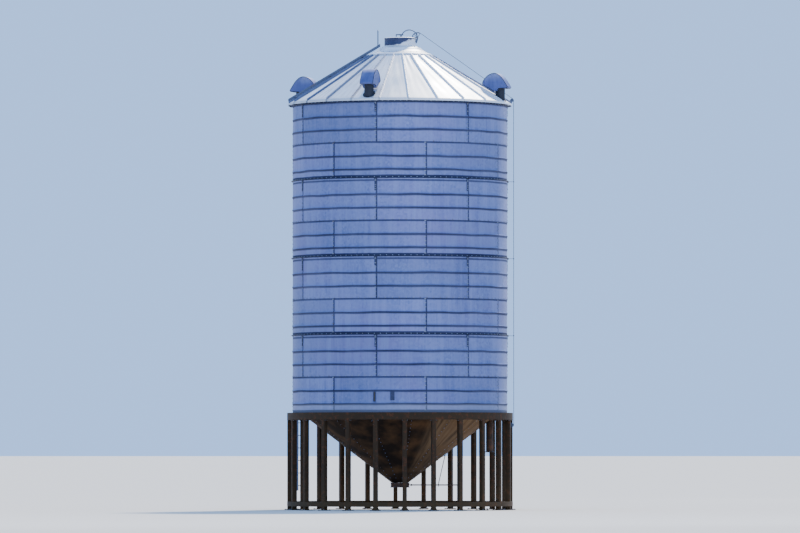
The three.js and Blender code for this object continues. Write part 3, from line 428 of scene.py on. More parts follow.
for ring in range(1, TIERS):
    joint = WALL_BASE + ring * TIER_HEIGHT
    inner, outer = WALL_RADIUS + OVER_LAPS, WALL_RADIUS + RING_REACH
    angle = [
        (inner, joint - RING_HALF), (inner + 0.005, joint - RING_HALF), (inner + 0.0055, joint - 0.004),
        (inner + 0.009, joint - 0.001), (outer - 0.001, joint - 0.001), (outer, joint), (outer, joint + 0.004),
        (outer - 0.001, joint + 0.005), (inner + 0.005, joint + 0.005), (inner + 0.004, joint + RING_HALF),
        (inner, joint + RING_HALF),
    ]
    lengths = [turned(angle, angles(180))]
    for middle in angles(SHEETS_ROUND, UPPER_SEAM + 3.2):
        span = np.linspace(middle - JOINT_PLATE_HALF / WALL_RADIUS, middle + JOINT_PLATE_HALF / WALL_RADIUS, 7)
        lengths.append(turned([
            (inner + 0.0058, joint - RING_HALF + 0.001), (outer - 0.004, joint - RING_HALF + 0.001),
            (outer - 0.002, joint - 0.002), (inner + 0.0058, joint - 0.002),
        ], span, close=False))
    keep(mesh_of(f"joint_angle_{ring}", join(lengths)), galvanised_angle, "galvanised_wall", f"joint_ring_{ring}")
    around = angles(RING_BOLTS_ROUND, UPPER_SEAM)
    lap_bolts.append(outward(inner + 0.004, around, joint + 0.0115))


# Seam covers: a small plate of dark sheet over the top end of each vertical lap in an upper course, where it
# meets the joint ring, held by bolts, with a narrower dark strip below it.
def mottled(name, scale, detail, dark, light, **finish):
    """A material of a dark and a light tone in soft patches, with the settings of its finish."""
    made, tree = new_material(name)
    place = add(tree, "TexCoord").outputs["Object"]
    patches = add(tree, "TexNoise", Vector=place, Scale=scale, Detail=detail)
    colour = add(tree, "Mix", patches, dark, light, data_type="RGBA")
    add(tree, "OutputMaterial", Surface=add(tree, "BsdfPrincipled", Base_Color=colour, **finish))
    return made


# Sheet brushed with bitumen sealant: blue-black with a soft, uneven sheen.
sealed_sheet = mottled("bitumen_coated_cover_plate", 20.0, 4.0, "#151d3d", "#2a3560", Roughness=0.55)

COVER_TOP, COVER_FOOT, UNDER_EAVE_ANGLE = 0.020, 0.075, 0.045
COVER_HALF, STRIP_HALF, COVER_FACE = 0.034, 0.022, 0.0075
rng = np.random.default_rng(5)
covers = []
for tier in range(TIERS):
    joint = WALL_BASE + (tier + 1) * TIER_HEIGHT - (UNDER_EAVE_ANGLE if tier == TIERS - 1 else 0.0)
    for seam in range(SHEETS_ROUND):
        middle = math.radians(UPPER_SEAM) + seam * SHEET_ANGLE + END_LAP / 2 / WALL_RADIUS
        long = rng.uniform(0.15, 0.24)
        for half, low, high in ((COVER_HALF, joint - COVER_FOOT, joint - COVER_TOP),
                                (STRIP_HALF, joint - long - COVER_FOOT, joint - COVER_FOOT - 0.002)):
            span = np.linspace(middle - half / WALL_RADIUS, middle + half / WALL_RADIUS, 4)[:, None]
            rise = np.linspace(low, high, 3)[None, :]
            covers.append(plate(round_about(WALL_RADIUS + COVER_FACE, span, rise),
                                round_about(WALL_RADIUS + OVER_LAPS, span, rise)))
        spots = np.array([joint - 0.048, joint - COVER_FOOT - long * 0.6])
        lap_bolts.append(outward(WALL_RADIUS + COVER_FACE - 0.0005, middle, spots))
keep(mesh_of("seam_covers", join(covers)), sealed_sheet, "galvanised_wall")


# Fittings on the bottom tier: a narrow acrylic sight window in a frame of dark, sealed strips, which shows the
# grain's level, and beside it the flat pressed box of a sampling valve with two knobs. Both are sealed down.

# Acrylic sheet gone dull with grain dust: brownish and half blind, with a soft gloss.
sight_glass = mottled("dusty_acrylic_window", 18.0, 4.0, "#171a22", "#3b3428", Roughness=0.3, IOR=1.49)


def curved_block(azimuth, half, low, high, near, far):
    """A block that follows the wall, its middle at an azimuth in degrees and its half width in metres."""
    span = np.linspace(-half, half, 5)[:, None] / WALL_RADIUS + math.radians(azimuth)
    rise = np.linspace(low, high, 3)[None, :]
    return plate(round_about(WALL_RADIUS + far, span, rise), round_about(WALL_RADIUS + near, span, rise))


SIGHT_AZIMUTH, SIGHT_LOW, SIGHT_HIGH = -13.5, 2.56, 2.77
rims = [curved_block(SIGHT_AZIMUTH + side, half, low, high, 0.001, 0.016) for side, half, low, high in (
    (0.0, 0.026, SIGHT_LOW - 0.012, SIGHT_LOW), (0.0, 0.026, SIGHT_HIGH, SIGHT_HIGH + 0.012),
    (-0.54, 0.006, SIGHT_LOW, SIGHT_HIGH), (0.54, 0.006, SIGHT_LOW, SIGHT_HIGH))]
keep(mesh_of("sight_window_frame", join(rims)), sealed_sheet, "galvanised_wall")
keep(mesh_of("sight_window_pane", curved_block(
    SIGHT_AZIMUTH, 0.019, SIGHT_LOW + 0.001, SIGHT_HIGH - 0.001, 0.001, 0.010)), sight_glass, "galvanised_wall")

VALVE_AZIMUTH, VALVE_LOW, VALVE_HIGH = -4.0, 2.58, 2.78
knobs = [curved_block(VALVE_AZIMUTH, 0.010, height - 0.010, height + 0.010, 0.0382, 0.050)
         for height in (VALVE_LOW + 0.05, VALVE_HIGH - 0.05)]
keep(mesh_of("sampling_valve_box", join([
    curved_block(VALVE_AZIMUTH, 0.050, VALVE_LOW, VALVE_HIGH, 0.0005, 0.006),
    curved_block(VALVE_AZIMUTH, 0.038, VALVE_LOW + 0.012, VALVE_HIGH - 0.012, 0.0062, 0.034),
    curved_block(VALVE_AZIMUTH, 0.041, VALVE_LOW + 0.009, VALVE_HIGH - 0.009, 0.0342, 0.038),
    *knobs,
])), sealed_sheet, "galvanised_wall")


# Eave ring: a rolled angle of galvanised steel, bolted through the sheet round the top of the wall. The roof
# panels are fixed to its sloping leaf.
EAVE_RADIUS = 2.662
EAVE_HEIGHT = 9.634
ROOF_SLOPE = math.radians(31)
WALL_TOP = WALL_BASE + TIERS * TIER_HEIGHT


def roof_top(radius):
    """The height of the roof's upper face at a radius."""
    return EAVE_HEIGHT + (EAVE_RADIUS - radius) * math.tan(ROOF_SLOPE)


eave_inner, eave_outer = WALL_RADIUS + OVER_LAPS, WALL_RADIUS + 0.044
eave_top = roof_top(eave_outer) - 0.016
keep(mesh_of("eave_angle", turned([
    (eave_inner, WALL_TOP - 0.060), (eave_inner + 0.006, WALL_TOP - 0.060), (eave_inner + 0.007, eave_top - 0.006),
    (eave_outer, eave_top - 0.004), (eave_outer, eave_top), (eave_inner, eave_top + 0.012),
], angles(180))), galvanised_angle, "galvanised_wall", "eave_ring")
around = angles(RING_BOLTS_ROUND, UPPER_SEAM + 1.0)
lap_bolts.append(outward(eave_inner + 0.0062, around, WALL_TOP - 0.034))


# Wall bolts: zinc-plated steel hex bolts, 16 mm across the flats, each on a round sealing washer. They close
# the laps of the sheets and hold the joint rings, the eave ring and the seam covers.
def geometry_tree(name, inputs):
    """A geometry tree with one geometry in and out, and the named number, whole-number or material inputs."""
    made = bpy.data.node_groups.new(name, "GeometryNodeTree")
    made.interface.new_socket(name="Geometry", in_out="INPUT", socket_type="NodeSocketGeometry")
    for label, kind in inputs.items():
        made.interface.new_socket(name=label, in_out="INPUT", socket_type=kind)
    made.interface.new_socket(name="Geometry", in_out="OUTPUT", socket_type="NodeSocketGeometry")
    return made, made.nodes.new("NodeGroupInput").outputs, made.nodes.new("NodeGroupOutput")


def end_in_material(made_tree, last, given, result):
    """Ends a geometry tree in real geometry with the material that it's given."""
    real = add(made_tree, "GeometryNodeRealizeInstances", last)
    coated = add(made_tree, "GeometryNodeSetMaterial", Geometry=real, Material=given["Material"])
    made_tree.links.new(coated.outputs[0], result.inputs[0])


def grown(name, mesh, made_tree, sizes):
    """Runs a geometry tree on a mesh with the given sizes, and returns the plain mesh that it makes."""
    holder = bpy.data.objects.new(name, mesh)
    bpy.context.scene.collection.objects.link(holder)
    modifier = holder.modifiers.new("grown", "NODES")
    modifier.node_group = made_tree
    for socket in made_tree.interface.items_tree:
        if socket.in_out == "INPUT" and socket.name in sizes:
            modifier[socket.identifier] = sizes[socket.name]
    shown = holder.evaluated_get(bpy.context.evaluated_depsgraph_get())
    result = bpy.data.meshes.new_from_object(shown)
    result.name = name
    holder.modifiers.remove(modifier)
    bpy.data.objects.remove(holder)
    return result


bolting, given, result = geometry_tree("hex_bolts_on_points", {
    "Head radius": "NodeSocketFloat", "Head height": "NodeSocketFloat", "Washer radius": "NodeSocketFloat",
    "Washer height": "NodeSocketFloat", "Material": "NodeSocketMaterial",
})
head = add(bolting, "GeometryNodeMeshCylinder", Vertices=6, Radius=given["Head radius"],
           Depth=given["Head height"])
head_lift = add(bolting, "Math", given["Head height"], 0.5, given["Washer height"], operation="MULTIPLY_ADD")
head_place = add(bolting, "CombineXYZ", Z=head_lift)
head_set = add(bolting, "GeometryNodeTransform", Geometry=head, Translation=head_place)
washer = add(bolting, "GeometryNodeMeshCylinder", Vertices=10, Radius=given["Washer radius"],
             Depth=given["Washer height"])
washer_lift = add(bolting, "Math", given["Washer height"], 0.4, operation="MULTIPLY")
washer_place = add(bolting, "CombineXYZ", Z=washer_lift)
washer_set = add(bolting, "GeometryNodeTransform", Geometry=washer, Translation=washer_place)
bolt = add(bolting, "GeometryNodeJoinGeometry")
bolting.links.new(head_set.outputs[0], bolt.inputs[0])
bolting.links.new(washer_set.outputs[0], bolt.inputs[0])
facing = add(bolting, "GeometryNodeInputNamedAttribute", Name="facing", data_type="FLOAT_VECTOR")
turn = add(bolting, "FunctionNodeAlignRotationToVector", Vector=facing, axis="Z")
spin = add(bolting, "FunctionNodeRandomValue", 0.0, 1.05, Seed=7, data_type="FLOAT")
spin_turn = add(bolting, "FunctionNodeAxisAngleToRotation", Axis=(0.0, 0.0, 1.0), Angle=spin)
turned_bolt = add(bolting, "FunctionNodeRotateRotation", turn, spin_turn, rotation_space="LOCAL")
points_in = add(bolting, "GeometryNodeMeshToPoints", given["Geometry"])
placed = add(bolting, "GeometryNodeInstanceOnPoints", Points=points_in, Instance=bolt, Rotation=turned_bolt)
end_in_material(bolting, placed, given, result)

bolt_steel, tree = new_material("zinc_plated_bolt_steel")
# Zinc-plated bolts: brighter than the sheet when new, and spotted with rust where the plating has gone.
place = add(tree, "TexCoord").outputs["Object"]
patch = add(tree, "TexNoise", Vector=place, Scale=5.5, Detail=3.0)
rusty = add(tree, "MapRange", patch, 0.56, 0.68, 0.0, 0.75)
plating = add(tree, "Mix", rusty, "#7d879c", "#5d4a3c", data_type="RGBA")
metal = add(tree, "MapRange", rusty, To_Min=0.85, To_Max=0.2)
add(tree, "OutputMaterial", Surface=add(tree, "BsdfPrincipled", Base_Color=plating, Metallic=metal,
                                        Roughness=0.48))


def bolts(name, slot, rows, head):
    """One piece of hex bolts, with heads of a radius in metres, from rows of points and the way each row faces."""
    points = np.concatenate([np.reshape(row, (-1, 3)) for row, _ in rows])
    facings = np.concatenate([np.broadcast_to(facing, np.shape(row)).reshape(-1, 3) for row, facing in rows])
    mesh = bpy.data.meshes.new(name + "_places")
    mesh.from_pydata(points.tolist(), [], [])
    mesh.attributes.new("facing", "FLOAT_VECTOR", "POINT").data.foreach_set("vector", facings.ravel())
    made = grown(name, mesh, bolting, {
        "Head radius": head, "Head height": head * 0.75, "Washer radius": head * 1.45,
        "Washer height": head * 0.22, "Material": bolt_steel,
    })
    keep(made, bolt_steel, slot)


bolts("wall_bolts", "galvanised_wall", lap_bolts, head=0.0092)


# Roof: 24 panels of bright galvanised sheet between standing ribs. Each panel is a little flatter than the
# cone, hangs slightly hollow between its ribs, and is folded down 45 mm at the eave as a drip edge.
RIBS = 24
FIRST_RIB = 4.5
ROOF_HOLE = 0.373
PANEL_THICKNESS = 0.004
PANEL_GAP = 0.0008
PANEL_ANGLE = TURN / RIBS
EAVE_LIP = 0.045

bright_sheet, tree = new_material("bright_galvanised_roof_sheet")
# Minimised-spangle galvanised sheet: paler and smoother than the wall's, bright where the sun strikes it. Its
# fine crystals are drawn 40 mm wide, as smaller would not show. Faint rain streaks run down the slope to a grey
# tide of dust at the eave. These and the soil beside the ribs are laid on the left and fade out to the right, so
# there they are partly soil and partly painted shade of the ribs on the slope away from the sun.
place = add(tree, "TexCoord").outputs["Object"]
panel_shade = add(tree, "Attribute", attribute_name="shade").outputs["Fac"]
panel_across = add(tree, "Attribute", attribute_name="across").outputs["Fac"]
panel_down = add(tree, "Attribute", attribute_name="down").outputs["Fac"]
cloud = add(tree, "TexNoise", Vector=place, Scale=1.4, Detail=5.0)
spangle = add(tree, "TexVoronoi", Vector=place, Scale=26.0).outputs["Color"]
each_panel = add(tree, "Math", panel_shade, 60.0, operation="MULTIPLY")
from_rib = add(tree, "Math", panel_across, 14.0, operation="MULTIPLY")
down_slope = add(tree, "Math", panel_down, 0.8, operation="MULTIPLY")
flow = add(tree, "CombineXYZ", from_rib, each_panel, down_slope)
streak = add(tree, "TexNoise", Vector=flow, Scale=1.0, Detail=5.0, Roughness=0.6)
rain = add(tree, "MapRange", streak, 0.50, 0.72, 0.0, 0.5)
beside_rib = add(tree, "MapRange", panel_across, 0.024, 0.045, 1.0, 0.0)
at_eave = add(tree, "MapRange", panel_down, EAVE_RADIUS - 0.16, EAVE_RADIUS, 0.0, 0.45)
caught = add(tree, "Math", beside_rib, at_eave, operation="MAXIMUM")
washed = add(tree, "MapRange", cloud, 0.35, 0.6, 0.45, 0.9)
where = add(tree, "SeparateXYZ", place)
# Left-side mask: partly soil, partly painted shade of the ribs away from the sun.
shade_side = add(tree, "MapRange", where.outputs["X"], -1.2, 0.9, 1.0, 0.14)
stays = add(tree, "Math", washed, shade_side, operation="MULTIPLY")
settled = add(tree, "Math", caught, stays, operation="MULTIPLY")
rain_there = add(tree, "Math", rain, shade_side, operation="MULTIPLY")
both = add(tree, "Math", settled, rain_there, operation="MAXIMUM")
on_panel = add(tree, "Math", panel_down, 0.1, operation="GREATER_THAN")
grime_and_shade = add(tree, "Math", both, on_panel, operation="MULTIPLY")
sheet_colour = add(tree, "Mix", cloud, "#d6e0ee", "#f3f6fa", data_type="RGBA")
sheet_spangle = add(tree, "Mix", 0.10, sheet_colour, spangle, data_type="RGBA", blend_type="OVERLAY")
toned = add(tree, "Mix", panel_shade, sheet_spangle, "#a3b1c9", data_type="RGBA")
soil_and_shade = add(tree, "Mix", grime_and_shade, toned, "#525d76", data_type="RGBA")
rough = add(tree, "MapRange", cloud, 0.3, 0.7, 0.34, 0.5)
ripple = add(tree, "Bump", Height=cloud, Strength=0.2, Distance=0.015)
add(tree, "OutputMaterial", Surface=add(tree, "BsdfPrincipled", Base_Color=soil_and_shade, Metallic=0.4,
                                        Roughness=rough, Normal=ripple))

rng = np.random.default_rng(24)
down = np.concatenate([[0.0, 0.35, 0.85, 1.0], np.full(24, 1.0)])
reach = np.concatenate([[EAVE_RADIUS, EAVE_RADIUS, EAVE_RADIUS - 0.001, EAVE_RADIUS - 0.005],
                        np.linspace(EAVE_RADIUS - 0.05, ROOF_HOLE, 24)])
panels, shades, acrosses, reaches = [], [], [], []
for panel in range(RIBS):
    share = np.linspace(0, 1, 17)[:, None]
    azimuth = math.radians(FIRST_RIB) + PANEL_GAP / 2 + (panel + share) * PANEL_ANGLE - share * PANEL_GAP
    off_middle = (share - 0.5) * PANEL_ANGLE
    flatter = 1 - 0.45 * (1 - math.cos(PANEL_ANGLE / 2) / np.cos(off_middle))
    up = np.linspace(0, 1, reach.size)[None, :]
    hollow = dents(rng, share, up, 0.0035) - 0.004 * np.sin(np.pi * share) * np.sin(np.pi * up)
    height = np.where(down < 1, EAVE_HEIGHT - EAVE_LIP * (1 - down), roof_top(reach))[None, :] + hollow
    skin = round_about(reach[None, :] * flatter, azimuth, height)
    below = np.where(down < 1, 0.0, PANEL_THICKNESS / math.cos(ROOF_SLOPE))
    inward = np.where(down < 1, PANEL_THICKNESS, 0.0)
    back = round_about((reach - inward)[None, :] * flatter, azimuth, height - below[None, :])
    panels.append(plate(skin, back))
    shades += [rng.uniform(0.0, 0.3)] * (2 * share.size * reach.size)
    acrosses.append(np.tile((np.minimum(share, 1 - share) * PANEL_ANGLE * reach[None, :]).ravel(), 2))
    reaches.append(np.tile(np.broadcast_to(reach[None, :], skin.shape[:2]).ravel(), 2))
mesh = mesh_of("roof_panels", join(panels), sharp=50.0)
mark(mesh, "shade", shades)
mark(mesh, "across", np.concatenate(acrosses))
mark(mesh, "down", np.concatenate(reaches))
keep(mesh, bright_sheet, "galvanised_roof", "roof_cone")


# Roof ribs: the raised side folds of two panels under one pressed cap of galvanised sheet, one over each
# joint. A row of screws holds each cap down.
RIB_INNER, RIB_OUTER = 0.775, EAVE_RADIUS - 0.020
RIB_HALF, RIB_HEIGHT = 0.019, 0.040

round_axis, given, result = geometry_tree("set_round_the_axis", {
    "Count": "NodeSocketInt", "First azimuth": "NodeSocketFloat", "Material": "NodeSocketMaterial",
})
seats = add(round_axis, "GeometryNodeMeshLine", Count=given["Count"], Offset=(0.0, 0.0, 0.0))
number = add(round_axis, "GeometryNodeInputIndex")
one_turn = add(round_axis, "Math", number, TURN, operation="MULTIPLY")
its_share = add(round_axis, "Math", one_turn, given["Count"], operation="DIVIDE")
its_turn = add(round_axis, "Math", its_share, given["First azimuth"], operation="ADD")
its_rotation = add(round_axis, "CombineXYZ", Z=its_turn)
set_there = add(round_axis, "GeometryNodeInstanceOnPoints", Points=seats, Instance=given["Geometry"],
                Rotation=its_rotation)
end_in_material(round_axis, set_there, given, result)


def all_round(name, mesh, count, first, material, slot, *replaces):
    """A piece shaped at the front and repeated round the silo's axis, the first one at an azimuth in degrees."""
    sizes = {"Count": count, "First azimuth": math.radians(first), "Material": material}
    keep(grown(name, mesh, round_axis, sizes), material, slot, *replaces)


def made_of(name, parts, soften=0.0, sharp=35.0):
    """One mesh from several closed solids, its faces outwards and its sharp edges broken by a small round."""
    points, faces = join(parts)
    mesh = bpy.data.meshes.new(name)
    mesh.from_pydata(points.tolist(), [], faces)
    work = bmesh.new()
    work.from_mesh(mesh)
    bmesh.ops.recalc_face_normals(work, faces=work.faces)
    if soften:
        edges = [edge for edge in work.edges
                 if len(edge.link_faces) == 2 and edge.calc_face_angle(0.0) > math.radians(50)]
        bmesh.ops.bevel(work, geom=edges, offset=soften, offset_type="OFFSET", segments=1, profile=0.7,
                        affect="EDGES", clamp_overlap=True)
    work.to_mesh(mesh)
    work.free()
    smooth(mesh, sharp)
    return mesh


def off_roof(azimuth):
    """The direction square to the roof at an azimuth."""
    return round_about(math.sin(ROOF_SLOPE), azimuth, math.cos(ROOF_SLOPE))


rib_cap_sheet, tree = new_material("rib_cap_sheet_painted_light_and_shade")
# Pressed caps of duller zinc than the panels. They are painted dark blue-grey as shade, and on the front right,
# where the sun falls, pale as the sunlit panels as painted light.
place = add(tree, "TexCoord").outputs["Object"]
where = add(tree, "SeparateXYZ", place)
forward = add(tree, "Math", where.outputs["Y"], -1.0, operation="MULTIPLY")
round_it = add(tree, "Math", where.outputs["X"], forward, operation="ARCTAN2")
# Painted light on the front right, painted shade elsewhere.
cap_lit_from = add(tree, "MapRange", round_it, -0.85, 0.05, 0.0, 1.0)
cap_lit_to = add(tree, "MapRange", round_it, 0.9, 1.45, 1.0, 0.0)
cap_lit = add(tree, "Math", cap_lit_from, cap_lit_to, operation="MULTIPLY")
mottle = add(tree, "TexNoise", Vector=place, Scale=7.0, Detail=4.0)
painted_shade_zinc = add(tree, "Mix", mottle, "#38446a", "#6b7898", data_type="RGBA")
cap_zinc = add(tree, "Mix", cap_lit, painted_shade_zinc, "#eef2f8", data_type="RGBA")
add(tree, "OutputMaterial", Surface=add(tree, "BsdfPrincipled", Base_Color=cap_zinc, Metallic=0.3,
                                        Roughness=0.5))

section = [
    (-RIB_HALF, -0.002), (-RIB_HALF, 0.003), (-0.014, 0.005), (-0.011, 0.030), (-0.007, 0.038), (0.0, RIB_HEIGHT),
    (0.007, 0.038), (0.011, 0.030), (0.014, 0.005), (RIB_HALF, 0.003), (RIB_HALF, -0.002),
]
rib = skinned([[
    (across, -radius - lift * math.sin(ROOF_SLOPE), roof_top(radius) + lift * math.cos(ROOF_SLOPE))
    for across, lift in section] for radius in np.linspace(RIB_OUTER, RIB_INNER, 12)], False)
all_round("roof_ribs", made_of("roof_rib", [rib], sharp=40.0), RIBS, FIRST_RIB, rib_cap_sheet, "galvanised_roof")
radii = np.arange(0.86, 2.62, 0.215)
bolts("roof_screws", "galvanised_roof", [
    (round_about(radii, azimuth, roof_top(radii)) + off_roof(azimuth) * (RIB_HEIGHT - 0.001), off_roof(azimuth))
    for azimuth in angles(RIBS, FIRST_RIB)
], head=0.0070)


# Crown: a flashing skirt spun from bright galvanised sheet round the filler, with a raised bead and a raised
# outer rim that sheds water over the ends of the ribs. A ring of screws holds it down.
SMOOTH_TURN = angles(120)


def lifted(pairs):
    """Radius and height points from radii and distances above the roof's face."""
    return [(radius, roof_top(radius) + lift) for radius, lift in pairs]


keep(made_of("crown_flashing", [turned(lifted([
    (0.759, 0.0025), (0.762, 0.010), (0.762, 0.026), (0.755, 0.031), (0.740, 0.032), (0.722, 0.031),
    (0.706, 0.020), (0.696, 0.0125), (0.600, 0.012), (0.533, 0.0125), (0.519, 0.023), (0.508, 0.028),
    (0.492, 0.028), (0.481, 0.023), (0.467, 0.0125), (0.400, 0.012), (0.3745, 0.012), (0.3745, 0.006),
    (0.467, 0.006), (0.600, 0.006), (0.696, 0.006), (0.722, 0.022), (0.740, 0.025), (0.752, 0.0025),
]), SMOOTH_TURN)], sharp=60.0), bright_sheet, "galvanised_roof", "roof_crown")
azimuths = angles(24, 7.5)
bolts("crown_screws", "galvanised_roof", [
    (round_about(0.650, azimuths, roof_top(0.650) + 0.0115), off_roof(azimuths))], head=0.0075)


# Filler collar: a short throat of rolled galvanised sheet in the crown's hole, riveted down one seam, with a
# stiffening bead halfway up and another under the lid.
collar_sheet, tree = new_material("collar_sheet_painted_shade_and_sunlight")
# Rolled galvanised sheet, a blue-black uneven semi-gloss on the left and under the lid's rim as painted shade, and
# bright zinc low down on the right as painted sunlight, split by a ragged diagonal edge.
place = add(tree, "TexCoord").outputs["Object"]
collar_noise = add(tree, "TexNoise", Vector=place, Scale=9.0, Detail=6.0)
painted_shade_coat = add(tree, "Mix", collar_noise, "#1c2444", "#3a4468", data_type="RGBA")
reach = add(tree, "SeparateXYZ", place)
# Diagonal split: painted shade above and to the left, painted sunlight below on the right.
across = add(tree, "MapRange", reach.outputs["X"], -0.30, 0.42, 10.96, 11.20)
above = add(tree, "Math", reach.outputs["Z"], across, operation="SUBTRACT")
ragged = add(tree, "MapRange", collar_noise, 0.3, 0.7, -0.03, 0.03)
edge = add(tree, "Math", above, ragged, operation="ADD")
bare = add(tree, "MapRange", edge, -0.015, 0.015, 1.0, 0.0)
shade_and_sun_colour = add(tree, "Mix", bare, painted_shade_coat, "#dfe6f0", data_type="RGBA")
add(tree, "OutputMaterial", Surface=add(tree, "BsdfPrincipled", Base_Color=shade_and_sun_colour, Metallic=0.3,
                                        Roughness=0.5))

keep(made_of("collar_sheet", [turned([
    (0.3685, 10.961), (0.3685, 11.040), (0.3705, 11.046), (0.3715, 11.054), (0.3705, 11.062), (0.3685, 11.068),
    (0.3685, 11.168), (0.3705, 11.174), (0.3718, 11.184), (0.3705, 11.193), (0.3670, 11.1942), (0.3560, 11.1942),
    (0.3560, 11.180), (0.3630, 11.172), (0.3630, 10.961),
], SMOOTH_TURN)], sharp=50.0), collar_sheet, "galvanised_wall", "filler_collar")


# Lid hinge bracket: two cut lugs and a back plate of galvanised steel, welded up and held to the collar by four
# bolts, with a plain pin through the lugs.
HINGE_X, HINGE_Z = 0.415, 11.215

fitting_steel, tree = new_material("galvanised_fitting_steel")
# Hand-dipped galvanised bar and plate: mid grey, satin, with thicker bright runs and brown rust at scuffed edges.
place = add(tree, "TexCoord").outputs["Object"]
mottle = add(tree, "TexNoise", Vector=place, Scale=14.0, Detail=5.0)
patch = add(tree, "TexNoise", Vector=place, Scale=6.0, Detail=6.0, Roughness=0.7)
rust_share = add(tree, "MapRange", patch, 0.58, 0.7, 0.0, 0.7)
zinc = add(tree, "Mix", mottle, "#3f4a60", "#66718a", data_type="RGBA")
stained = add(tree, "Mix", rust_share, zinc, "#6a4a36", data_type="RGBA")
metal = add(tree, "MapRange", rust_share, To_Min=0.8, To_Max=0.25)
rough = add(tree, "MapRange", mottle, 0.3, 0.7, 0.42, 0.62)
lumps = add(tree, "Bump", Height=mottle, Strength=0.2, Distance=0.002)
add(tree, "OutputMaterial", Surface=add(tree, "BsdfPrincipled", Base_Color=stained, Metallic=metal,
                                        Roughness=rough, Normal=lumps))


def axes(along):
    """Two directions square to one, and that one at unit length."""
    along = Vector(along).normalized()
    side = along.cross(Vector((0, 0, 1)) if abs(along.z) < 0.9 else Vector((0, 1, 0))).normalized()
    return side, along.cross(side), along


def spun(outline, origin, along, sides):
    """A solid turned about an axis through a point. Its outline of radius and distance starts and ends on it."""
    side, up, forward = axes(along)
    base = Vector(origin)
    points = [base + forward * outline[0][1], base + forward * outline[-1][1]]
    for radius, distance in outline[1:-1]:
        points += [base + forward * distance + (side * math.cos(a) + up * math.sin(a)) * radius
                   for a in angles(sides)]
    last = len(points) - sides
    faces = []
    for step in range(sides):
        after = (step + 1) % sides
        faces += [[ring + step, ring + after, ring + sides + after, ring + sides + step]
                  for ring in range(2, last, sides)]
        faces += [[0, 2 + after, 2 + step], [1, last + step, last + after]]
    return points, faces


def bar(start, end, radius, sides=12, edge=0.0012):
    """A round bar between two points with slightly broken edges."""
    length = (Vector(end) - Vector(start)).length
    edge = min(edge, radius * 0.3)
    outline = [(0, 0), (radius - edge, 0), (radius, edge), (radius, length - edge), (radius - edge, length),
               (0, length)]
    return spun(outline, start, Vector(end) - Vector(start), sides)


def boxed(corners):
    """A box by its eight corners, low before high in X, then in Y, then in Z."""
    return corners, [[0, 1, 3, 2], [4, 6, 7, 5], [0, 4, 5, 1], [2, 3, 7, 6], [0, 2, 6, 4], [1, 5, 7, 3]]


def block(low, high):
    """A box by its lowest and highest corner."""
    return boxed([(x, y, z) for x in (low[0], high[0]) for y in (low[1], high[1]) for z in (low[2], high[2])])


def upright(a, b, across):
    """Places the points of an outline in X and Z."""
    return a, across, b


def cut_plate(outline, low, high, place=upright):
    """A flat plate cut to an outline, between two distances across it, each point placed by a function."""
    points, faces = skinned([[place(a, b, across) for a, b in outline] for across in (low, high)], False)
    return points, [face[::-1] for face in faces[-2:]] + faces[:-2]


def two_plates(outline, near, far):
    """A like plate on each side of the middle, between two distances from it."""
    return [cut_plate(outline, low, high) for low, high in ((near, far), (-far, -near))]


lug = [(HINGE_X + x, HINGE_Z + z) for x, z in (
    (-0.0427, -0.125), (-0.014, -0.125), (0.002, -0.075), (0.016, -0.020), (0.017, 0.0), (0.013, 0.012),
    (0.0, 0.017), (-0.012, 0.013), (-0.014, -0.024), (-0.0427, -0.036))]
keep(made_of("hinge_bracket", [
    *two_plates(lug, 0.053, 0.061),
    block((HINGE_X - 0.0425, -0.062, HINGE_Z - 0.125), (HINGE_X - 0.034, 0.062, HINGE_Z - 0.040)),
], soften=0.0012), fitting_steel, "galvanised_fittings", "lid_hinge_bracket")
keep(made_of("hinge_pin", [
    bar((HINGE_X, -0.0615, HINGE_Z), (HINGE_X, 0.0615, HINGE_Z), 0.008),
    bar((HINGE_X, -0.0640, HINGE_Z), (HINGE_X, -0.0610, HINGE_Z), 0.013),
]), bolt_steel, "galvanised_fittings")
bolts("hinge_bolts", "galvanised_fittings", [
    ([(HINGE_X - 0.034, y, HINGE_Z - z) for y in (-0.035, 0.035) for z in (0.06, 0.105)], (1, 0, 0))], head=0.008)


# Lid: a spun disc of galvanised sheet with a rolled rim and two raised rings. Welded on it are two straps to
# its hinge, a grab bar on two posts, a grooved quadrant for the cable and a curved lever bar behind it.
LID_LOW, LID_TOP = 11.195, 11.213
ALONG_Y, ALONG_Z = (0, 1, 0), (0, 0, 1)
QUADRANT_RADIUS = 0.124
disc = [(0, LID_LOW + 0.0005), (0.345, LID_LOW + 0.0005), (0.352, LID_LOW + 0.004), (0.380, LID_LOW + 0.004),
        (0.389, LID_LOW), (0.3918, LID_LOW + 0.004), (0.391, LID_LOW + 0.009), (0.383, LID_LOW + 0.013),
        (0.362, LID_TOP - 0.001), (0.345, LID_TOP), (0.335, LID_TOP - 0.004), (0.300, LID_TOP - 0.004),
        (0.290, LID_TOP), (0.180, LID_TOP), (0.172, LID_TOP - 0.004), (0.140, LID_TOP - 0.004),
        (0.132, LID_TOP), (0, LID_TOP)]
keep(made_of("lid_disc", [spun(disc, (0, 0, 0), ALONG_Z, 96)], sharp=40.0), bright_sheet, "galvanised_roof",
     "lid", body="lid")


def arc(x, z, radius, turns):
    """Pairs at a radius from a centre, at each of the angles."""
    return [(x + radius * math.cos(a), z + radius * math.sin(a)) for a in turns]


def bent_bar(route, radius, sides=12):
    """A round bar bent along a route of points."""
    route = [Vector(point) for point in route]
    rings = []
    side = axes(route[1] - route[0])[0]
    for number, here in enumerate(route):
        before, after = route[max(number - 1, 0)], route[min(number + 1, len(route) - 1)]
        along = (after - before).normalized()
        side = (side - along * side.dot(along)).normalized()
        up = along.cross(side)
        rings.append([here + (side * math.cos(a) + up * math.sin(a)) * radius for a in angles(sides)])
    return skinned(rings, False)


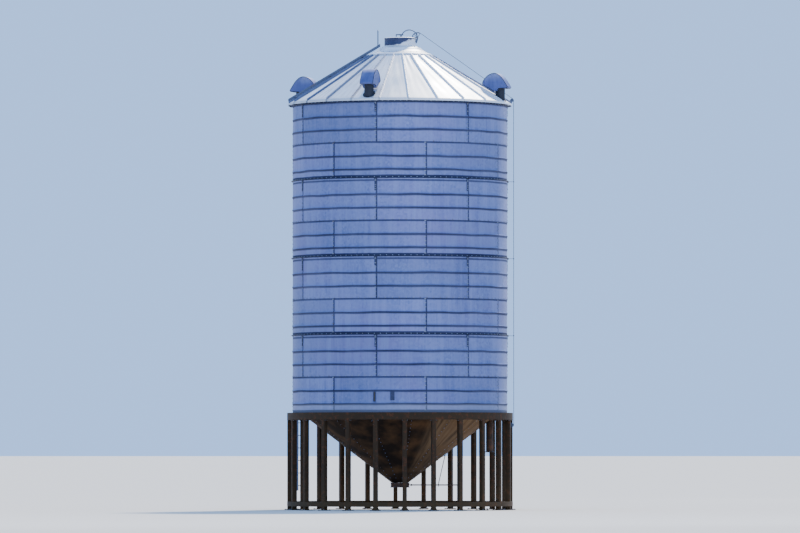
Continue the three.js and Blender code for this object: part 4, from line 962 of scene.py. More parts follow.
quarter = np.radians(np.linspace(54, 172, 40))
rim_outside, rim_inside, flange_outside = (
    arc(HINGE_X, HINGE_Z, reach, quarter) for reach in (QUADRANT_RADIUS, 0.112, 0.130))
spokes = []
for a in np.radians((60, 96, 132, 166)):
    spokes.append(cut_plate([
        (HINGE_X + reach * math.cos(a) + side * math.sin(a), HINGE_Z + reach * math.sin(a) - side * math.cos(a))
        for reach, side in ((0.014, 0.007), (0.116, 0.007), (0.116, -0.007), (0.014, -0.007))
    ], -0.004, 0.004))
lever = [(x, 0.030, z) for x, z in arc(0.222, HINGE_Z, 0.190, np.linspace(0, math.pi, 33))]
keep(made_of("lid_gear", [
    block((0.180, -0.045, LID_TOP - 0.004), (HINGE_X, -0.015, LID_TOP + 0.010)),
    block((0.180, 0.015, LID_TOP - 0.004), (HINGE_X, 0.045, LID_TOP + 0.010)),
    block((0.180, -0.045, LID_TOP - 0.004), (0.240, 0.045, LID_TOP + 0.008)),
    spun([(0, -0.045), (0.018, -0.045), (0.020, -0.043), (0.020, 0.043), (0.018, 0.045), (0, 0.045)],
         (HINGE_X, 0, HINGE_Z), ALONG_Y, 24),
    cut_plate(rim_outside + rim_inside[::-1], -0.010, 0.010),
    *two_plates(flange_outside + rim_inside[::-1], 0.0085, 0.0115),
    *spokes,
], soften=0.0010), fitting_steel, "galvanised_roof", body="lid")
keep(made_of("lid_lever_and_handle", [
    bent_bar(lever, 0.012, 14),
    bar((-0.100, 0, LID_TOP + 0.078), (0.076, 0, LID_TOP + 0.078), 0.014, 16),
    *[bar((x, 0, LID_TOP - 0.005), (x, 0, LID_TOP + 0.078), 0.010, 14) for x in (-0.090, 0.010)],
    *[bar((x, 0, LID_TOP - 0.001), (x, 0, LID_TOP + 0.004), 0.024, 18) for x in (-0.090, 0.010)],
    bar((0.032, 0.030, LID_TOP - 0.002), (0.032, 0.030, LID_TOP + 0.006), 0.022, 18),
]), fitting_steel, "galvanised_roof", body="lid")


# Lid cable: a 12 mm galvanised wire rope of six strands. It leaves the quadrant, crosses the right slope to
# the pulley at the eave, and drops beside the wall through the guides to the winch.
CABLE_RADIUS = 0.006
CABLE_DROP_X, CABLE_BOTTOM = 2.700, 2.010
PULLEY_RADIUS = 0.034
PULLEY_REACH = PULLEY_RADIUS + CABLE_RADIUS + 0.0003
PULLEY_X, PULLEY_Z = CABLE_DROP_X - PULLEY_REACH, EAVE_HEIGHT + 0.095
QUADRANT_REACH = QUADRANT_RADIUS + CABLE_RADIUS + 0.0003
between = math.hypot(PULLEY_X - HINGE_X, PULLEY_Z - HINGE_Z)
leave = math.atan2(PULLEY_Z - HINGE_Z, PULLEY_X - HINGE_X) + math.acos((QUADRANT_REACH - PULLEY_REACH) / between)

rope_laying, given, result = geometry_tree("wire_rope_strands", {
    "Strands": "NodeSocketInt", "Strand radius": "NodeSocketFloat", "Lay radius": "NodeSocketFloat",
    "Lay length": "NodeSocketFloat", "Step": "NodeSocketFloat", "Material": "NodeSocketMaterial",
})
route = add(rope_laying, "GeometryNodeMeshToCurve", given["Geometry"])
even = add(rope_laying, "GeometryNodeResampleCurve", Curve=route, Length=given["Step"], mode="LENGTH")
copies = add(rope_laying, "GeometryNodeDuplicateElements", Geometry=even, Amount=given["Strands"], domain="SPLINE")
which = add(rope_laying, "Math", copies.outputs["Duplicate Index"], TURN, operation="MULTIPLY")
phase = add(rope_laying, "Math", which, given["Strands"], operation="DIVIDE")
along = add(rope_laying, "GeometryNodeSplineParameter")
laid = add(rope_laying, "Math", along.outputs["Length"], TURN, operation="MULTIPLY")
laid_share = add(rope_laying, "Math", laid, given["Lay length"], operation="DIVIDE")
angle = add(rope_laying, "Math", laid_share, phase, operation="ADD")
cosine = add(rope_laying, "Math", angle, operation="COSINE")
sine = add(rope_laying, "Math", angle, operation="SINE")
forward = add(rope_laying, "GeometryNodeInputTangent")
across = add(rope_laying, "VectorMath", (0.0, 1.0, 0.0), forward, operation="CROSS_PRODUCT")
first_part = add(rope_laying, "VectorMath", (0.0, 1.0, 0.0), Scale=sine, operation="SCALE")
second_part = add(rope_laying, "VectorMath", across, Scale=cosine, operation="SCALE")
both = add(rope_laying, "VectorMath", first_part, second_part, operation="ADD")
offset = add(rope_laying, "VectorMath", both, Scale=given["Lay radius"], operation="SCALE")
set_off = add(rope_laying, "GeometryNodeSetPosition", Geometry=copies, Offset=offset)
strand = add(rope_laying, "GeometryNodeCurvePrimitiveCircle", Resolution=5, Radius=given["Strand radius"])
skin = add(rope_laying, "GeometryNodeCurveToMesh", Curve=set_off, Profile_Curve=strand, Fill_Caps=True)
end_in_material(rope_laying, skin, given, result)

# Galvanised wire rope, greased when new: darker than plate, with a dull sheen on the crowns of its strands.
wire_rope = mottled("galvanised_wire_rope", 3.0, 4.0, "#20252f", "#434a57", Metallic=0.7, Roughness=0.55)


def rope(name, route, *replaces, body="silo"):
    """A wire rope along a route of X and Z pairs."""
    mesh = bpy.data.meshes.new(name + "_route")
    mesh.from_pydata([(x, 0.0, z) for x, z in route], [(n, n + 1) for n in range(len(route) - 1)], [])
    made = grown(name, mesh, rope_laying, {
        "Strands": 6, "Strand radius": 0.0022, "Lay radius": 0.0038, "Lay length": 0.075, "Step": 0.012,
        "Material": wire_rope})
    keep(made, wire_rope, "galvanised_fittings", *replaces, body=body)


rope("cable", [*arc(HINGE_X, HINGE_Z, QUADRANT_REACH, [leave]),
               *arc(PULLEY_X, PULLEY_Z, PULLEY_REACH, leave * np.linspace(1, 0, 13)),
               (CABLE_DROP_X, CABLE_BOTTOM)], "lid_cable")
rope("cable_on_quadrant", arc(HINGE_X, HINGE_Z, QUADRANT_REACH, np.radians(np.linspace(58, 160, 24))), body="lid")


# Eave pulley: a grooved cast sheave on a pin between two cut cheeks. They are of galvanised plate, welded to a
# seat plate that is fixed on the roof's edge.
def roof_point(radius, lift, y=0.0):
    """A point on the right slope at a radius, lifted square to it."""
    return radius + lift * math.sin(ROOF_SLOPE), y, roof_top(radius) + lift * math.cos(ROOF_SLOPE)


cheek = [roof_point(EAVE_RADIUS - inward, 0.006)[::2] for inward in (0.120, 0.015)]
cheek += [(PULLEY_X + x, PULLEY_Z + z) for x, z in (
    (0.018, -0.010), (0.018, 0.004), (0.008, 0.016), (-0.008, 0.017), (-0.018, 0.008))]
seat_plate = boxed([roof_point(EAVE_RADIUS - inward, lift, y) for inward in (0.130, 0.010)
                    for y in (-0.045, 0.045) for lift in (0.0015, 0.008)])
keep(made_of("eave_pulley_bracket", [
    *two_plates(cheek, 0.0145, 0.0205), seat_plate,
    bar((PULLEY_X, -0.030, PULLEY_Z), (PULLEY_X, 0.030, PULLEY_Z), 0.009),
], soften=0.0010), fitting_steel, "galvanised_fittings", "eave_pulley")
keep(made_of("eave_sheave", [spun([
    (0, -0.012), (0.016, -0.012), (0.016, -0.009), (0.030, -0.009), (0.038, -0.0115), (0.041, -0.011),
    (0.041, -0.009), (0.0355, -0.005), (0.0340, 0.0), (0.0355, 0.005), (0.041, 0.009), (0.041, 0.011),
    (0.038, 0.0115), (0.030, 0.009), (0.016, 0.009), (0.016, 0.012), (0, 0.012),
], (PULLEY_X, 0, PULLEY_Z), ALONG_Y, 36)], sharp=40.0), fitting_steel, "galvanised_fittings")


# Cable guides: a flat tab of galvanised plate with a bushed eye, fixed on each joint ring under the pulley. The
# rope runs free through the eye.
TAB_HALF, EYE_HOLE = 0.021, 0.0105
TAB_START = WALL_RADIUS + RING_REACH + 0.0005


def flat(a, b, height):
    """Places the points of an outline in X and Y."""
    return a, b, height


rounded_end = arc(CABLE_DROP_X, 0.0, TAB_HALF, np.linspace(-1.57, 1.57, 9))[1:-1]
behind_hole = arc(CABLE_DROP_X, 0.0, EYE_HOLE, np.linspace(4.71, 1.57, 9))[1:-1]
before_hole = arc(CABLE_DROP_X, 0.0, EYE_HOLE, np.linspace(1.57, -1.57, 9))
left = [(TAB_START, -TAB_HALF), (CABLE_DROP_X, -TAB_HALF), (CABLE_DROP_X, -EYE_HOLE), *behind_hole,
        (CABLE_DROP_X, EYE_HOLE), (CABLE_DROP_X, TAB_HALF), (TAB_START, TAB_HALF)]
right = [(CABLE_DROP_X, -TAB_HALF), *rounded_end, (CABLE_DROP_X, TAB_HALF), *before_hole]
for ring in range(1, TIERS):
    joint = WALL_BASE + ring * TIER_HEIGHT
    bush = [[(CABLE_DROP_X + reach * math.cos(a), reach * math.sin(a), joint + rise) for reach, rise in (
        (0.0082, -0.0085), (0.0125, -0.0085), (0.0125, 0.0085), (0.0082, 0.0085))] for a in angles(16)]
    keep(made_of(f"cable_guide_tab_{ring}", [
        *[cut_plate(half, joint - 0.004, joint + 0.004, flat) for half in (left, right)], skinned(bush),
    ], soften=0.0006), fitting_steel, "galvanised_fittings", f"cable_guide_{ring}")


# Hand winch: a galvanised plate welded to the leg's side, with a flanged drum that holds a few turns of rope, a
# ratchet wheel and a cranked handle with a rubber grip.
DRUM_X = CABLE_DROP_X - 0.032 - CABLE_RADIUS - 0.0003
DRUM = (DRUM_X, 0, CABLE_BOTTOM)
GRIP_Z = CABLE_BOTTOM - 0.190


def rounded(corners, radius, steps=5):
    """A route of points with each inner corner rounded."""
    corners = [Vector(corner) for corner in corners]
    route = [corners[0]]
    for before, here, after in zip(corners, corners[1:], corners[2:]):
        a = here + (before - here).normalized() * radius
        b = here + (after - here).normalized() * radius
        for step in range(steps + 1):
            share = step / steps
            route.append(a.lerp(here, share).lerp(here.lerp(b, share), share))
    return route + [corners[-1]]


teeth = []
for a in angles(24):
    teeth += arc(DRUM_X, CABLE_BOTTOM, 0.036, [a]) + arc(DRUM_X, CABLE_BOTTOM, 0.042, [a + 0.2])
keep(made_of("winch_frame", [
    block((DRUM_X - 0.050, 0.0505, CABLE_BOTTOM - 0.060), (DRUM_X + 0.012, 0.0589, CABLE_BOTTOM + 0.060)),
    spun([(0, -0.048), (0.030, -0.048), (0.030, 0.041), (0.042, 0.041), (0.042, 0.047), (0, 0.050)],
         DRUM, ALONG_Y, 28),
    spun([(0, -0.0565), (0.041, -0.0565), (0.042, -0.0555), (0.042, -0.0495), (0.041, -0.0485), (0, -0.0485)],
         DRUM, ALONG_Y, 28),
    cut_plate(teeth, -0.066, -0.060),
    bar((DRUM_X, -0.094, CABLE_BOTTOM), (DRUM_X, 0.050, CABLE_BOTTOM), 0.010),
], soften=0.0008), fitting_steel, "galvanised_fittings", "hand_winch")
crank = rounded([(DRUM_X, across, height) for across, height in (
    (-0.084, CABLE_BOTTOM + 0.004), (-0.084, GRIP_Z), (-0.176, GRIP_Z))], 0.018)
keep(made_of("winch_crank", [
    bent_bar(crank, 0.0085), bar((DRUM_X, -0.096, CABLE_BOTTOM), (DRUM_X, -0.072, CABLE_BOTTOM), 0.016, 16),
]), fitting_steel, "galvanised_fittings")
coil = [(x, -0.040 + 0.0120 * a / TURN, z) for a in np.linspace(0.0, 6.2 * TURN, 160)
        for x, z in arc(DRUM_X, CABLE_BOTTOM, 0.0362, [a])]
keep(made_of("winch_rope", [bent_bar(coil, 0.0056, 8)]), wire_rope, "galvanised_fittings")

rubber_grip, tree = new_material("black_moulded_rubber")
# Moulded rubber: near black, greyed by sun and dust, with fine ribs 8 mm apart.
place = add(tree, "TexCoord").outputs["Object"]
ribbed = add(tree, "TexWave", Vector=place, Scale=40.0, bands_direction="Y").outputs["Fac"]
dusty = add(tree, "TexNoise", Vector=place, Scale=30.0)
black = add(tree, "Mix", dusty, "#1c1c1e", "#3a3936", data_type="RGBA")
ridges = add(tree, "Bump", Height=ribbed, Strength=0.4, Distance=0.001)
add(tree, "OutputMaterial", Surface=add(tree, "BsdfPrincipled", Base_Color=black, Roughness=0.75,
                                        Normal=ridges))
keep(made_of("winch_grip", [spun([
    (0, -0.180), (0.011, -0.180), (0.013, -0.176), (0.0125, -0.150), (0.013, -0.125), (0.0125, -0.112),
    (0.011, -0.104), (0, -0.104),
], (DRUM_X, 0, GRIP_Z), ALONG_Y, 18)], sharp=60.0), rubber_grip, "galvanised_fittings")


# Roof vents: four hoods of folded galvanised sheet, a quarter turn apart near the eave, each bolted down by the
# flange of its round neck. The top is rolled, the two cheeks are flat, and a slatted mouth looks down at the
# outer end.
VENT_AZIMUTHS = {"front": -17, "right": 73, "back": 163, "left": -107}
VENT_RADIUS, VENT_Z = 2.395, 10.018
HOOD_HALF = 0.160
NECK_AT, NECK_RADIUS = 2.480, 0.112

vent_sheet, tree = new_material("vent_sheet_painted_shade_blue")
# Galvanised sheet in dark blues that are painted shade and painted sky reflection, its folded edges rubbed darker,
# with a chalky bloom on top.
place = add(tree, "TexCoord").outputs["Object"]
bloom = add(tree, "TexNoise", Vector=place, Scale=5.0, Detail=6.0)
specks = add(tree, "TexNoise", Vector=place, Scale=60.0, Detail=2.0)
# Dark blues: painted shade with painted sky reflection.
skin = add(tree, "Mix", bloom, "#434f86", "#6672ab", data_type="RGBA")
speckled = add(tree, "Mix", 0.15, skin, specks.outputs["Color"], data_type="RGBA", blend_type="OVERLAY")
hood_height = add(tree, "SeparateXYZ", place)
drip_space = add(tree, "Mapping", Vector=place, Scale=(14.0, 14.0, 1.6))
drips = add(tree, "TexNoise", Vector=drip_space, Scale=1.0, Detail=4.0)
drip_share = add(tree, "MapRange", drips, 0.48, 0.66, 0.0, 0.3)
dripped = add(tree, "Mix", drip_share, speckled, "#2f3966", data_type="RGBA")
on_top = add(tree, "MapRange", hood_height.outputs["Z"], VENT_Z + 0.10, VENT_Z + 0.31, 0.0, 1.0)
chalk = add(tree, "MapRange", bloom, 0.38, 0.62, 0.15, 0.8)
chalk_share = add(tree, "Math", on_top, chalk, operation="MULTIPLY")
chalked = add(tree, "Mix", chalk_share, dripped, "#8b95bb", data_type="RGBA")
rough = add(tree, "MapRange", bloom, 0.3, 0.7, 0.45, 0.68)
add(tree, "OutputMaterial", Surface=add(tree, "BsdfPrincipled", Base_Color=chalked, Metallic=0.45,
                                        Roughness=rough))

# Rolled edge beads and the throat of the vent: the same sheet, painted near black as the shade under the hood.
vent_trim = mottled("dark_vent_edging", 12.0, 5.0, "#12151f", "#272c3d", Metallic=0.3, Roughness=0.6)

HOOD_TOP = [
    (0.312, -0.024), (0.245, 0.087), (0.165, 0.202), (0.080, 0.279), (0.005, 0.310), (-0.075, 0.305),
    (-0.164, 0.269), (-0.240, 0.202), (-0.300, 0.115), (-0.312, 0.045),
]


def through(points, steps):
    """A smooth curve through points, in a number of steps from each to the next."""
    first, last = 2 * Vector(points[0]) - Vector(points[1]), 2 * Vector(points[-1]) - Vector(points[-2])
    stops = [first, *map(Vector, points), last]
    curve = []
    for before, here, there, after in zip(stops, stops[1:], stops[2:], stops[3:]):
        for step in range(steps):
            share = step / steps
            curve.append(0.5 * (2 * here + (there - before) * share
                                + (2 * before - 5 * here + 4 * there - after) * share ** 2
                                + (3 * here - before - 3 * there + after) * share ** 3))
    return [tuple(point) for point in curve] + [points[-1]]


hood_corners = through(HOOD_TOP, 4) + [(-0.022, -0.129), (0.045, -0.118), (0.080, -0.058), (0.295, -0.048)]
hood_side = [(VENT_RADIUS + x, VENT_Z + z) for x, z in hood_corners]
rim_side = [(VENT_RADIUS + x * 0.985, VENT_Z + 0.05 + (z - 0.05) * 0.97) for x, z in hood_corners]


def placed(parts, azimuth):
    """Parts shaped along +X, turned to stand at an azimuth in degrees from the front towards the right."""
    turn = math.radians(azimuth - 90)
    cosine, sine = math.cos(turn), math.sin(turn)
    return [([(p[0] * cosine - p[1] * sine, p[0] * sine + p[1] * cosine, p[2]) for p in points], faces)
            for points, faces in parts]


def tubed(outline, across, radius):
    """A round bead along a closed outline at a distance across."""
    route = [Vector((a, across, b)) for a, b in outline]
    side = Vector((0, 1, 0))
    rings = []
    for number, here in enumerate(route):
        up = (route[(number + 1) % len(route)] - route[number - 1]).normalized().cross(side)
        rings.append([here + (side * math.cos(a) + up * math.sin(a)) * radius for a in angles(8)])
    return skinned(rings)


def neck_ring(reach, lift):
    """A ring round the vent's neck, as wide as the neck times its reach, a lift above the roof."""
    return [(x, y, roof_top(math.hypot(x, y)) + lift)
            for x, y in arc(NECK_AT, 0.0, NECK_RADIUS * reach, angles(32))]


neck = neck_ring(1.0, 0.0015)
throat = skinned([neck, [(x, y, VENT_Z - 0.050) for x, y, _ in neck]], False)
brim = skinned([neck, neck_ring(1.0, 0.006), neck_ring(1.30, 0.006), neck_ring(1.30, 0.0015)])
slats = [cut_plate([(VENT_RADIUS + 0.216 + slat * 0.022 + x, VENT_Z + z) for x, z in (
    (0, -0.052), (0.004, -0.052), (0.018, -0.040), (0.014, -0.040))], -HOOD_HALF + 0.014, HOOD_HALF - 0.014)
    for slat in range(4)]
hood = cut_plate(hood_side, -HOOD_HALF + 0.002, HOOD_HALF - 0.002)
edging = [tubed(rim_side, across, 0.0075) for across in (HOOD_HALF - 0.004, -HOOD_HALF + 0.004)]
brim_bolts = []
for side, azimuth in VENT_AZIMUTHS.items():
    keep(made_of(f"vent_hood_{side}", placed([hood], azimuth), soften=0.004, sharp=38.0), vent_sheet,
         "vent_steel", f"vent_{side}")
    keep(made_of(f"vent_trim_{side}", placed([throat, brim, *slats, *edging], azimuth), sharp=40.0), vent_trim,
         "vent_steel")
    for x, y in arc(NECK_AT, 0.0, 1.15 * NECK_RADIUS, angles(8, 22.5)):
        radius, seat = math.hypot(x, y), math.radians(azimuth) + math.atan2(y, x)
        brim_bolts.append((round_about(radius, seat, roof_top(radius) + 0.0055), off_roof(seat)))
bolts("vent_bolts", "vent_steel", brim_bolts, head=0.0070)


# Ladders: stiles of galvanised flat bar with round rungs welded through them, on cross bars. The roof ladder
# lies on the ribs and has a hand hoop beside the filler. The wall ladder stands off the rings and the beam.
LADDER_HALF = 0.200
STILE_HALF, STILE_DEPTH = 0.005, 0.040
RUNG_RADIUS, RUNG_END = 0.010, 0.006
RUNG_PITCH = 0.300
ROOF_RUNGS, WALL_RUNGS = 8, 31
LADDER_LIFT = RIB_HEIGHT + 0.014
ROOF_LADDER_AZIMUTH = -90
WALL_LADDER_AZIMUTH = -120
HOOP_RADIUS, HOOP_TOP = 0.525, 11.385


def on_slope(radius, lift, across):
    """A point over the slope along +X, at a radius, a lift square to the slope and a distance across."""
    return radius, across, roof_top(radius) + lift / math.cos(ROOF_SLOPE)


def slope_block(inner, outer, low, high, left, right):
    """A flat bar laid along the slope between two radii, lifts and distances across."""
    return boxed([on_slope(radius, lift, across) for radius in (inner, outer) for across in (left, right)
                  for lift in (low, high)])


def rung_at(x, z):
    """A rung through both stiles."""
    reach = LADDER_HALF + RUNG_END
    return bar((x, -reach, z), (x, reach, z), RUNG_RADIUS)


roof_ladder = [slope_block(0.470, 2.656, LADDER_LIFT, LADDER_LIFT + STILE_DEPTH,
                           across - STILE_HALF, across + STILE_HALF) for across in (-LADDER_HALF, LADDER_HALF)]
for rung in range(ROOF_RUNGS):
    x, _, z = on_slope(2.596 - rung * RUNG_PITCH * math.cos(ROOF_SLOPE), LADDER_LIFT + STILE_DEPTH / 2, 0)
    roof_ladder.append(rung_at(x, z))
for radius in (2.480, 1.650, 0.900):
    roof_ladder.append(slope_block(radius - 0.020, radius + 0.020, RIB_HEIGHT + 0.001, LADDER_LIFT + 0.002,
                                   -LADDER_HALF - 0.030, radius * math.sin(math.radians(10.5)) + 0.030))
hoop_foot = on_slope(HOOP_RADIUS, LADDER_LIFT + STILE_DEPTH / 2, 0)[2]
hoop = rounded([(HOOP_RADIUS, -LADDER_HALF, hoop_foot), (HOOP_RADIUS, -LADDER_HALF, HOOP_TOP),
                (HOOP_RADIUS, LADDER_HALF, HOOP_TOP), (HOOP_RADIUS, LADDER_HALF, hoop_foot)], 0.060, 8)
roof_ladder.append(bent_bar(hoop, 0.012, 14))
keep(made_of("roof_ladder_steel", placed(roof_ladder, ROOF_LADDER_AZIMUTH), soften=0.0010), fitting_steel,
     "galvanised_fittings", "roof_ladder")

LADDER_NEAR, LADDER_FAR = 2.692, 2.732
wall_ladder = [block((LADDER_NEAR, across - STILE_HALF, 0.450), (LADDER_FAR, across + STILE_HALF, 9.780))
               for across in (-LADDER_HALF, LADDER_HALF)]
wall_ladder += [rung_at((LADDER_NEAR + LADDER_FAR) / 2, 0.570 + rung * RUNG_PITCH) for rung in range(WALL_RUNGS)]
for z, seat in (*[(WALL_BASE + ring * TIER_HEIGHT, 2.588) for ring in range(1, TIERS)], (2.215, 2.680),
                (WALL_TOP - 0.048, 2.594)):
    wall_ladder.append(block((seat + 0.0005, -LADDER_HALF - 0.004, z - 0.012),
                             (LADDER_NEAR + 0.005, LADDER_HALF + 0.004, z + 0.012)))
keep(made_of("wall_ladder_steel", placed(wall_ladder, WALL_LADDER_AZIMUTH), soften=0.0010), fitting_steel,
     "galvanised_fittings", "wall_ladder")


# Ring beam: a rolled channel of painted steel under the wall, its web outwards, with plates welded between its
# flanges over every leg.
BEAM_LOW, BEAM_HIGH = 2.130, 2.2997
BEAM_INNER, BEAM_OUTER = 2.505, 2.680
LEGS = 24
LEG_AZIMUTH = 2.4

frame_paint, tree = new_material("brown_frame_paint")
# Old brown oil paint on mill steel: chalky, thin at the edges, with ochre dust low down and rust runs.
place = add(tree, "TexCoord").outputs["Object"]
chalk = add(tree, "TexNoise", Vector=place, Scale=4.0, Detail=6.0)
blotch = add(tree, "TexNoise", Vector=place, Scale=11.0, Detail=7.0, Roughness=0.72)
rusted = add(tree, "MapRange", blotch, 0.52, 0.62, 0.0, 0.9)
low_down = add(tree, "SeparateXYZ", place)
dusty = add(tree, "MapRange", low_down.outputs["Z"], 0.0, 0.9, 0.42, 0.06)
# Near-black browns: the paint's brown darkened as painted shade under the silo.
paint = add(tree, "Mix", chalk, "#1e140a", "#33230f", data_type="RGBA")
with_rust = add(tree, "Mix", rusted, paint, "#4e2a13", data_type="RGBA")
with_dust = add(tree, "Mix", dusty, with_rust, "#5c4729", data_type="RGBA")
pitted = add(tree, "Bump", Height=blotch, Strength=0.3, Distance=0.002)
add(tree, "OutputMaterial", Surface=add(tree, "BsdfPrincipled", Base_Color=with_dust, Roughness=0.75,
                                        Specular_IOR_Level=0.25, Normal=pitted))

keep(made_of("beam_channel", [turned([
    (BEAM_OUTER, BEAM_LOW), (BEAM_OUTER, BEAM_HIGH), (BEAM_INNER, BEAM_HIGH), (BEAM_INNER, BEAM_HIGH - 0.010),
    (BEAM_OUTER - 0.016, BEAM_HIGH - 0.013), (BEAM_OUTER - 0.009, BEAM_HIGH - 0.020),
    (BEAM_OUTER - 0.009, BEAM_LOW + 0.020), (BEAM_OUTER - 0.016, BEAM_LOW + 0.013), (BEAM_INNER, BEAM_LOW + 0.010),
    (BEAM_INNER, BEAM_LOW),
], SMOOTH_TURN)], sharp=40.0), frame_paint, "painted_frame", "ring_beam")
stiffener = made_of("beam_stiffener", [
    block((left, -BEAM_OUTER + 0.0095, BEAM_LOW + 0.0105),
          (left + 0.010, -BEAM_INNER - inward, BEAM_HIGH - 0.0105))
    for left, inward in ((-0.005, 0.008), (-0.048, 0.040), (0.038, 0.040))
], soften=0.0015)
all_round("beam_stiffeners", stiffener, LEGS, LEG_AZIMUTH, frame_paint, "painted_frame")


# Legs: 24 posts of painted steel box section, each with a welded cap plate and two gussets at the top. Four
# bolts through the cap hold it to the ring beam, and its foot is welded to the base ring.
LEG_INNER, LEG_OUTER = 2.560, 2.675
LEG_LOW, LEG_HIGH = 0.2003, 2.1297
LEG_HALF = 0.050
quarter_post = [(0.010, 0.0), (0.003, 0.003), (0.0, 0.010)]
post = [(-LEG_HALF + 0.010, -LEG_OUTER)]
post += [(LEG_HALF - x, -LEG_OUTER + y) for x, y in quarter_post]
post += [(LEG_HALF - x, -LEG_INNER - y) for x, y in quarter_post[::-1]]
post += [(-LEG_HALF + x, -LEG_INNER - y) for x, y in quarter_post]
post += [(-LEG_HALF + x, -LEG_OUTER + y) for x, y in quarter_post[:0:-1]]
gussets = [cut_plate([
    (side * LEG_HALF, LEG_HIGH - 0.100), (side * (LEG_HALF + 0.018), LEG_HIGH - 0.0135),
    (side * LEG_HALF, LEG_HIGH - 0.0135)], -LEG_OUTER + 0.050, -LEG_OUTER + 0.058) for side in (-1, 1)]
welds = [bar((x, -LEG_OUTER + 0.006, LEG_HIGH - 0.0135), (x, -LEG_INNER - 0.006, LEG_HIGH - 0.0135), 0.004, 8)
         for x in (-LEG_HALF, LEG_HALF)]
welds += [bar((-LEG_HALF + 0.006, -LEG_OUTER + 0.0035, LEG_LOW + 0.004),
              (LEG_HALF - 0.006, -LEG_OUTER + 0.0035, LEG_LOW + 0.004), 0.004, 8)]
leg = made_of("leg_post", [
    cut_plate(post, LEG_LOW, LEG_HIGH - 0.012, flat),
    block((-LEG_HALF - 0.020, -LEG_OUTER, LEG_HIGH - 0.012), (LEG_HALF + 0.020, -LEG_INNER + 0.020, LEG_HIGH)),
    *gussets, *welds,
], soften=0.0012)
all_round("leg_posts", leg, LEGS, LEG_AZIMUTH, frame_paint, "painted_frame",
          *[f"leg_{number:02d}" for number in range(1, LEGS + 1)])


def on_legs(offsets, radii, height):
    """Places on every leg, at distances to its side and from the silo's axis."""
    return [round_about(radius, azimuth + offset / radius, height)
            for azimuth in angles(LEGS, LEG_AZIMUTH) for offset in offsets for radius in radii]


bolts("cap_bolts", "painted_frame", [
    (on_legs((-0.058, 0.058), (2.590, 2.650), LEG_HIGH - 0.0122), (0, 0, -1))], head=0.0085)


# Base ring: a rolled channel of painted steel round the feet of the legs, its web outwards. Under each leg a
# stub, two gussets and a foot plate are welded on, held down by four anchor bolts.
BAND_LOW, BAND_HIGH = 0.090, 0.200
BAND_INNER, BAND_OUTER = 2.545, 2.680
FOOT_HALF, FOOT_NEAR, FOOT_FAR, FOOT_THICKNESS = 0.100, 2.490, 2.745, 0.014
keep(made_of("base_band", [turned([
    (BAND_OUTER, BAND_LOW), (BAND_OUTER, BAND_HIGH - 0.002), (BAND_OUTER - 0.002, BAND_HIGH),
    (BAND_INNER, BAND_HIGH), (BAND_INNER, BAND_HIGH - 0.010), (BAND_OUTER - 0.012, BAND_HIGH - 0.011),
    (BAND_OUTER - 0.012, BAND_LOW + 0.011), (BAND_INNER, BAND_LOW + 0.010), (BAND_INNER, BAND_LOW),
    (BAND_OUTER - 0.002, BAND_LOW - 0.0005),
], SMOOTH_TURN)], sharp=40.0), frame_paint, "painted_frame", "base_ring")
foot_gussets = [cut_plate([(side * 0.095, FOOT_THICKNESS), (side * 0.050, FOOT_THICKNESS),
                           (side * 0.050, BAND_LOW - 0.004)], -2.622, -2.612) for side in (-1, 1)]
foot = made_of("foot", [
    cut_plate(post, FOOT_THICKNESS, BAND_LOW + 0.001, flat),
    block((-FOOT_HALF, -FOOT_FAR, 0.0), (FOOT_HALF, -FOOT_NEAR, FOOT_THICKNESS)), *foot_gussets,
], soften=0.0015)
all_round("feet", foot, LEGS, LEG_AZIMUTH, frame_paint, "painted_frame")
bolts("anchor_nuts", "painted_frame", [
    (on_legs((-0.075, 0.075), (2.520, 2.715), FOOT_THICKNESS), (0, 0, 1))], head=0.0125)


# Hopper: a cone of lapped galvanised sheets hung from an upright band inside the wall's foot. Its laps run down
# the slope and are bolted. Brown dust sticks to it all over.
HOPPER_SLOPE = math.radians(37.3)
HOPPER_TIP_RADIUS, HOPPER_TIP_HEIGHT = 0.200, 0.645
HOPPER_BAND = 2.5377
HOPPER_SHEETS = 14


def hopper_outside(radius):
    """The height of the hopper's outer face at a radius."""
    return HOPPER_TIP_HEIGHT + (radius - HOPPER_TIP_RADIUS) * math.tan(HOPPER_SLOPE)


hopper_sheet, tree = new_material("dusty_hopper_sheet")
# Galvanised sheet that brown grain dust has coated: matt ochre-brown, streaked down the slope towards the outlet.
# Its near-black browns are painted shade under the silo, and paler brown streaks on the right are painted light.
place = add(tree, "TexCoord").outputs["Object"]
hopper_tone = add(tree, "Attribute", attribute_name="shade").outputs["Fac"]
cake = add(tree, "TexNoise", Vector=place, Scale=2.2, Detail=7.0, Roughness=0.5)
thin = add(tree, "MapRange", cake, 0.42, 0.66, 0.0, 1.0)
# Dark browns: painted shade under the silo over the dust's brown.
dust_and_shade = add(tree, "Mix", thin, "#24160a", "#5a3d22", data_type="RGBA")
sheet_shade = add(tree, "Mix", hopper_tone, dust_and_shade, "#1a1008", data_type="RGBA")
where = add(tree, "SeparateXYZ", place)
forward = add(tree, "Math", where.outputs["Y"], -1.0, operation="MULTIPLY")
round_it = add(tree, "Math", where.outputs["X"], forward, operation="ARCTAN2")
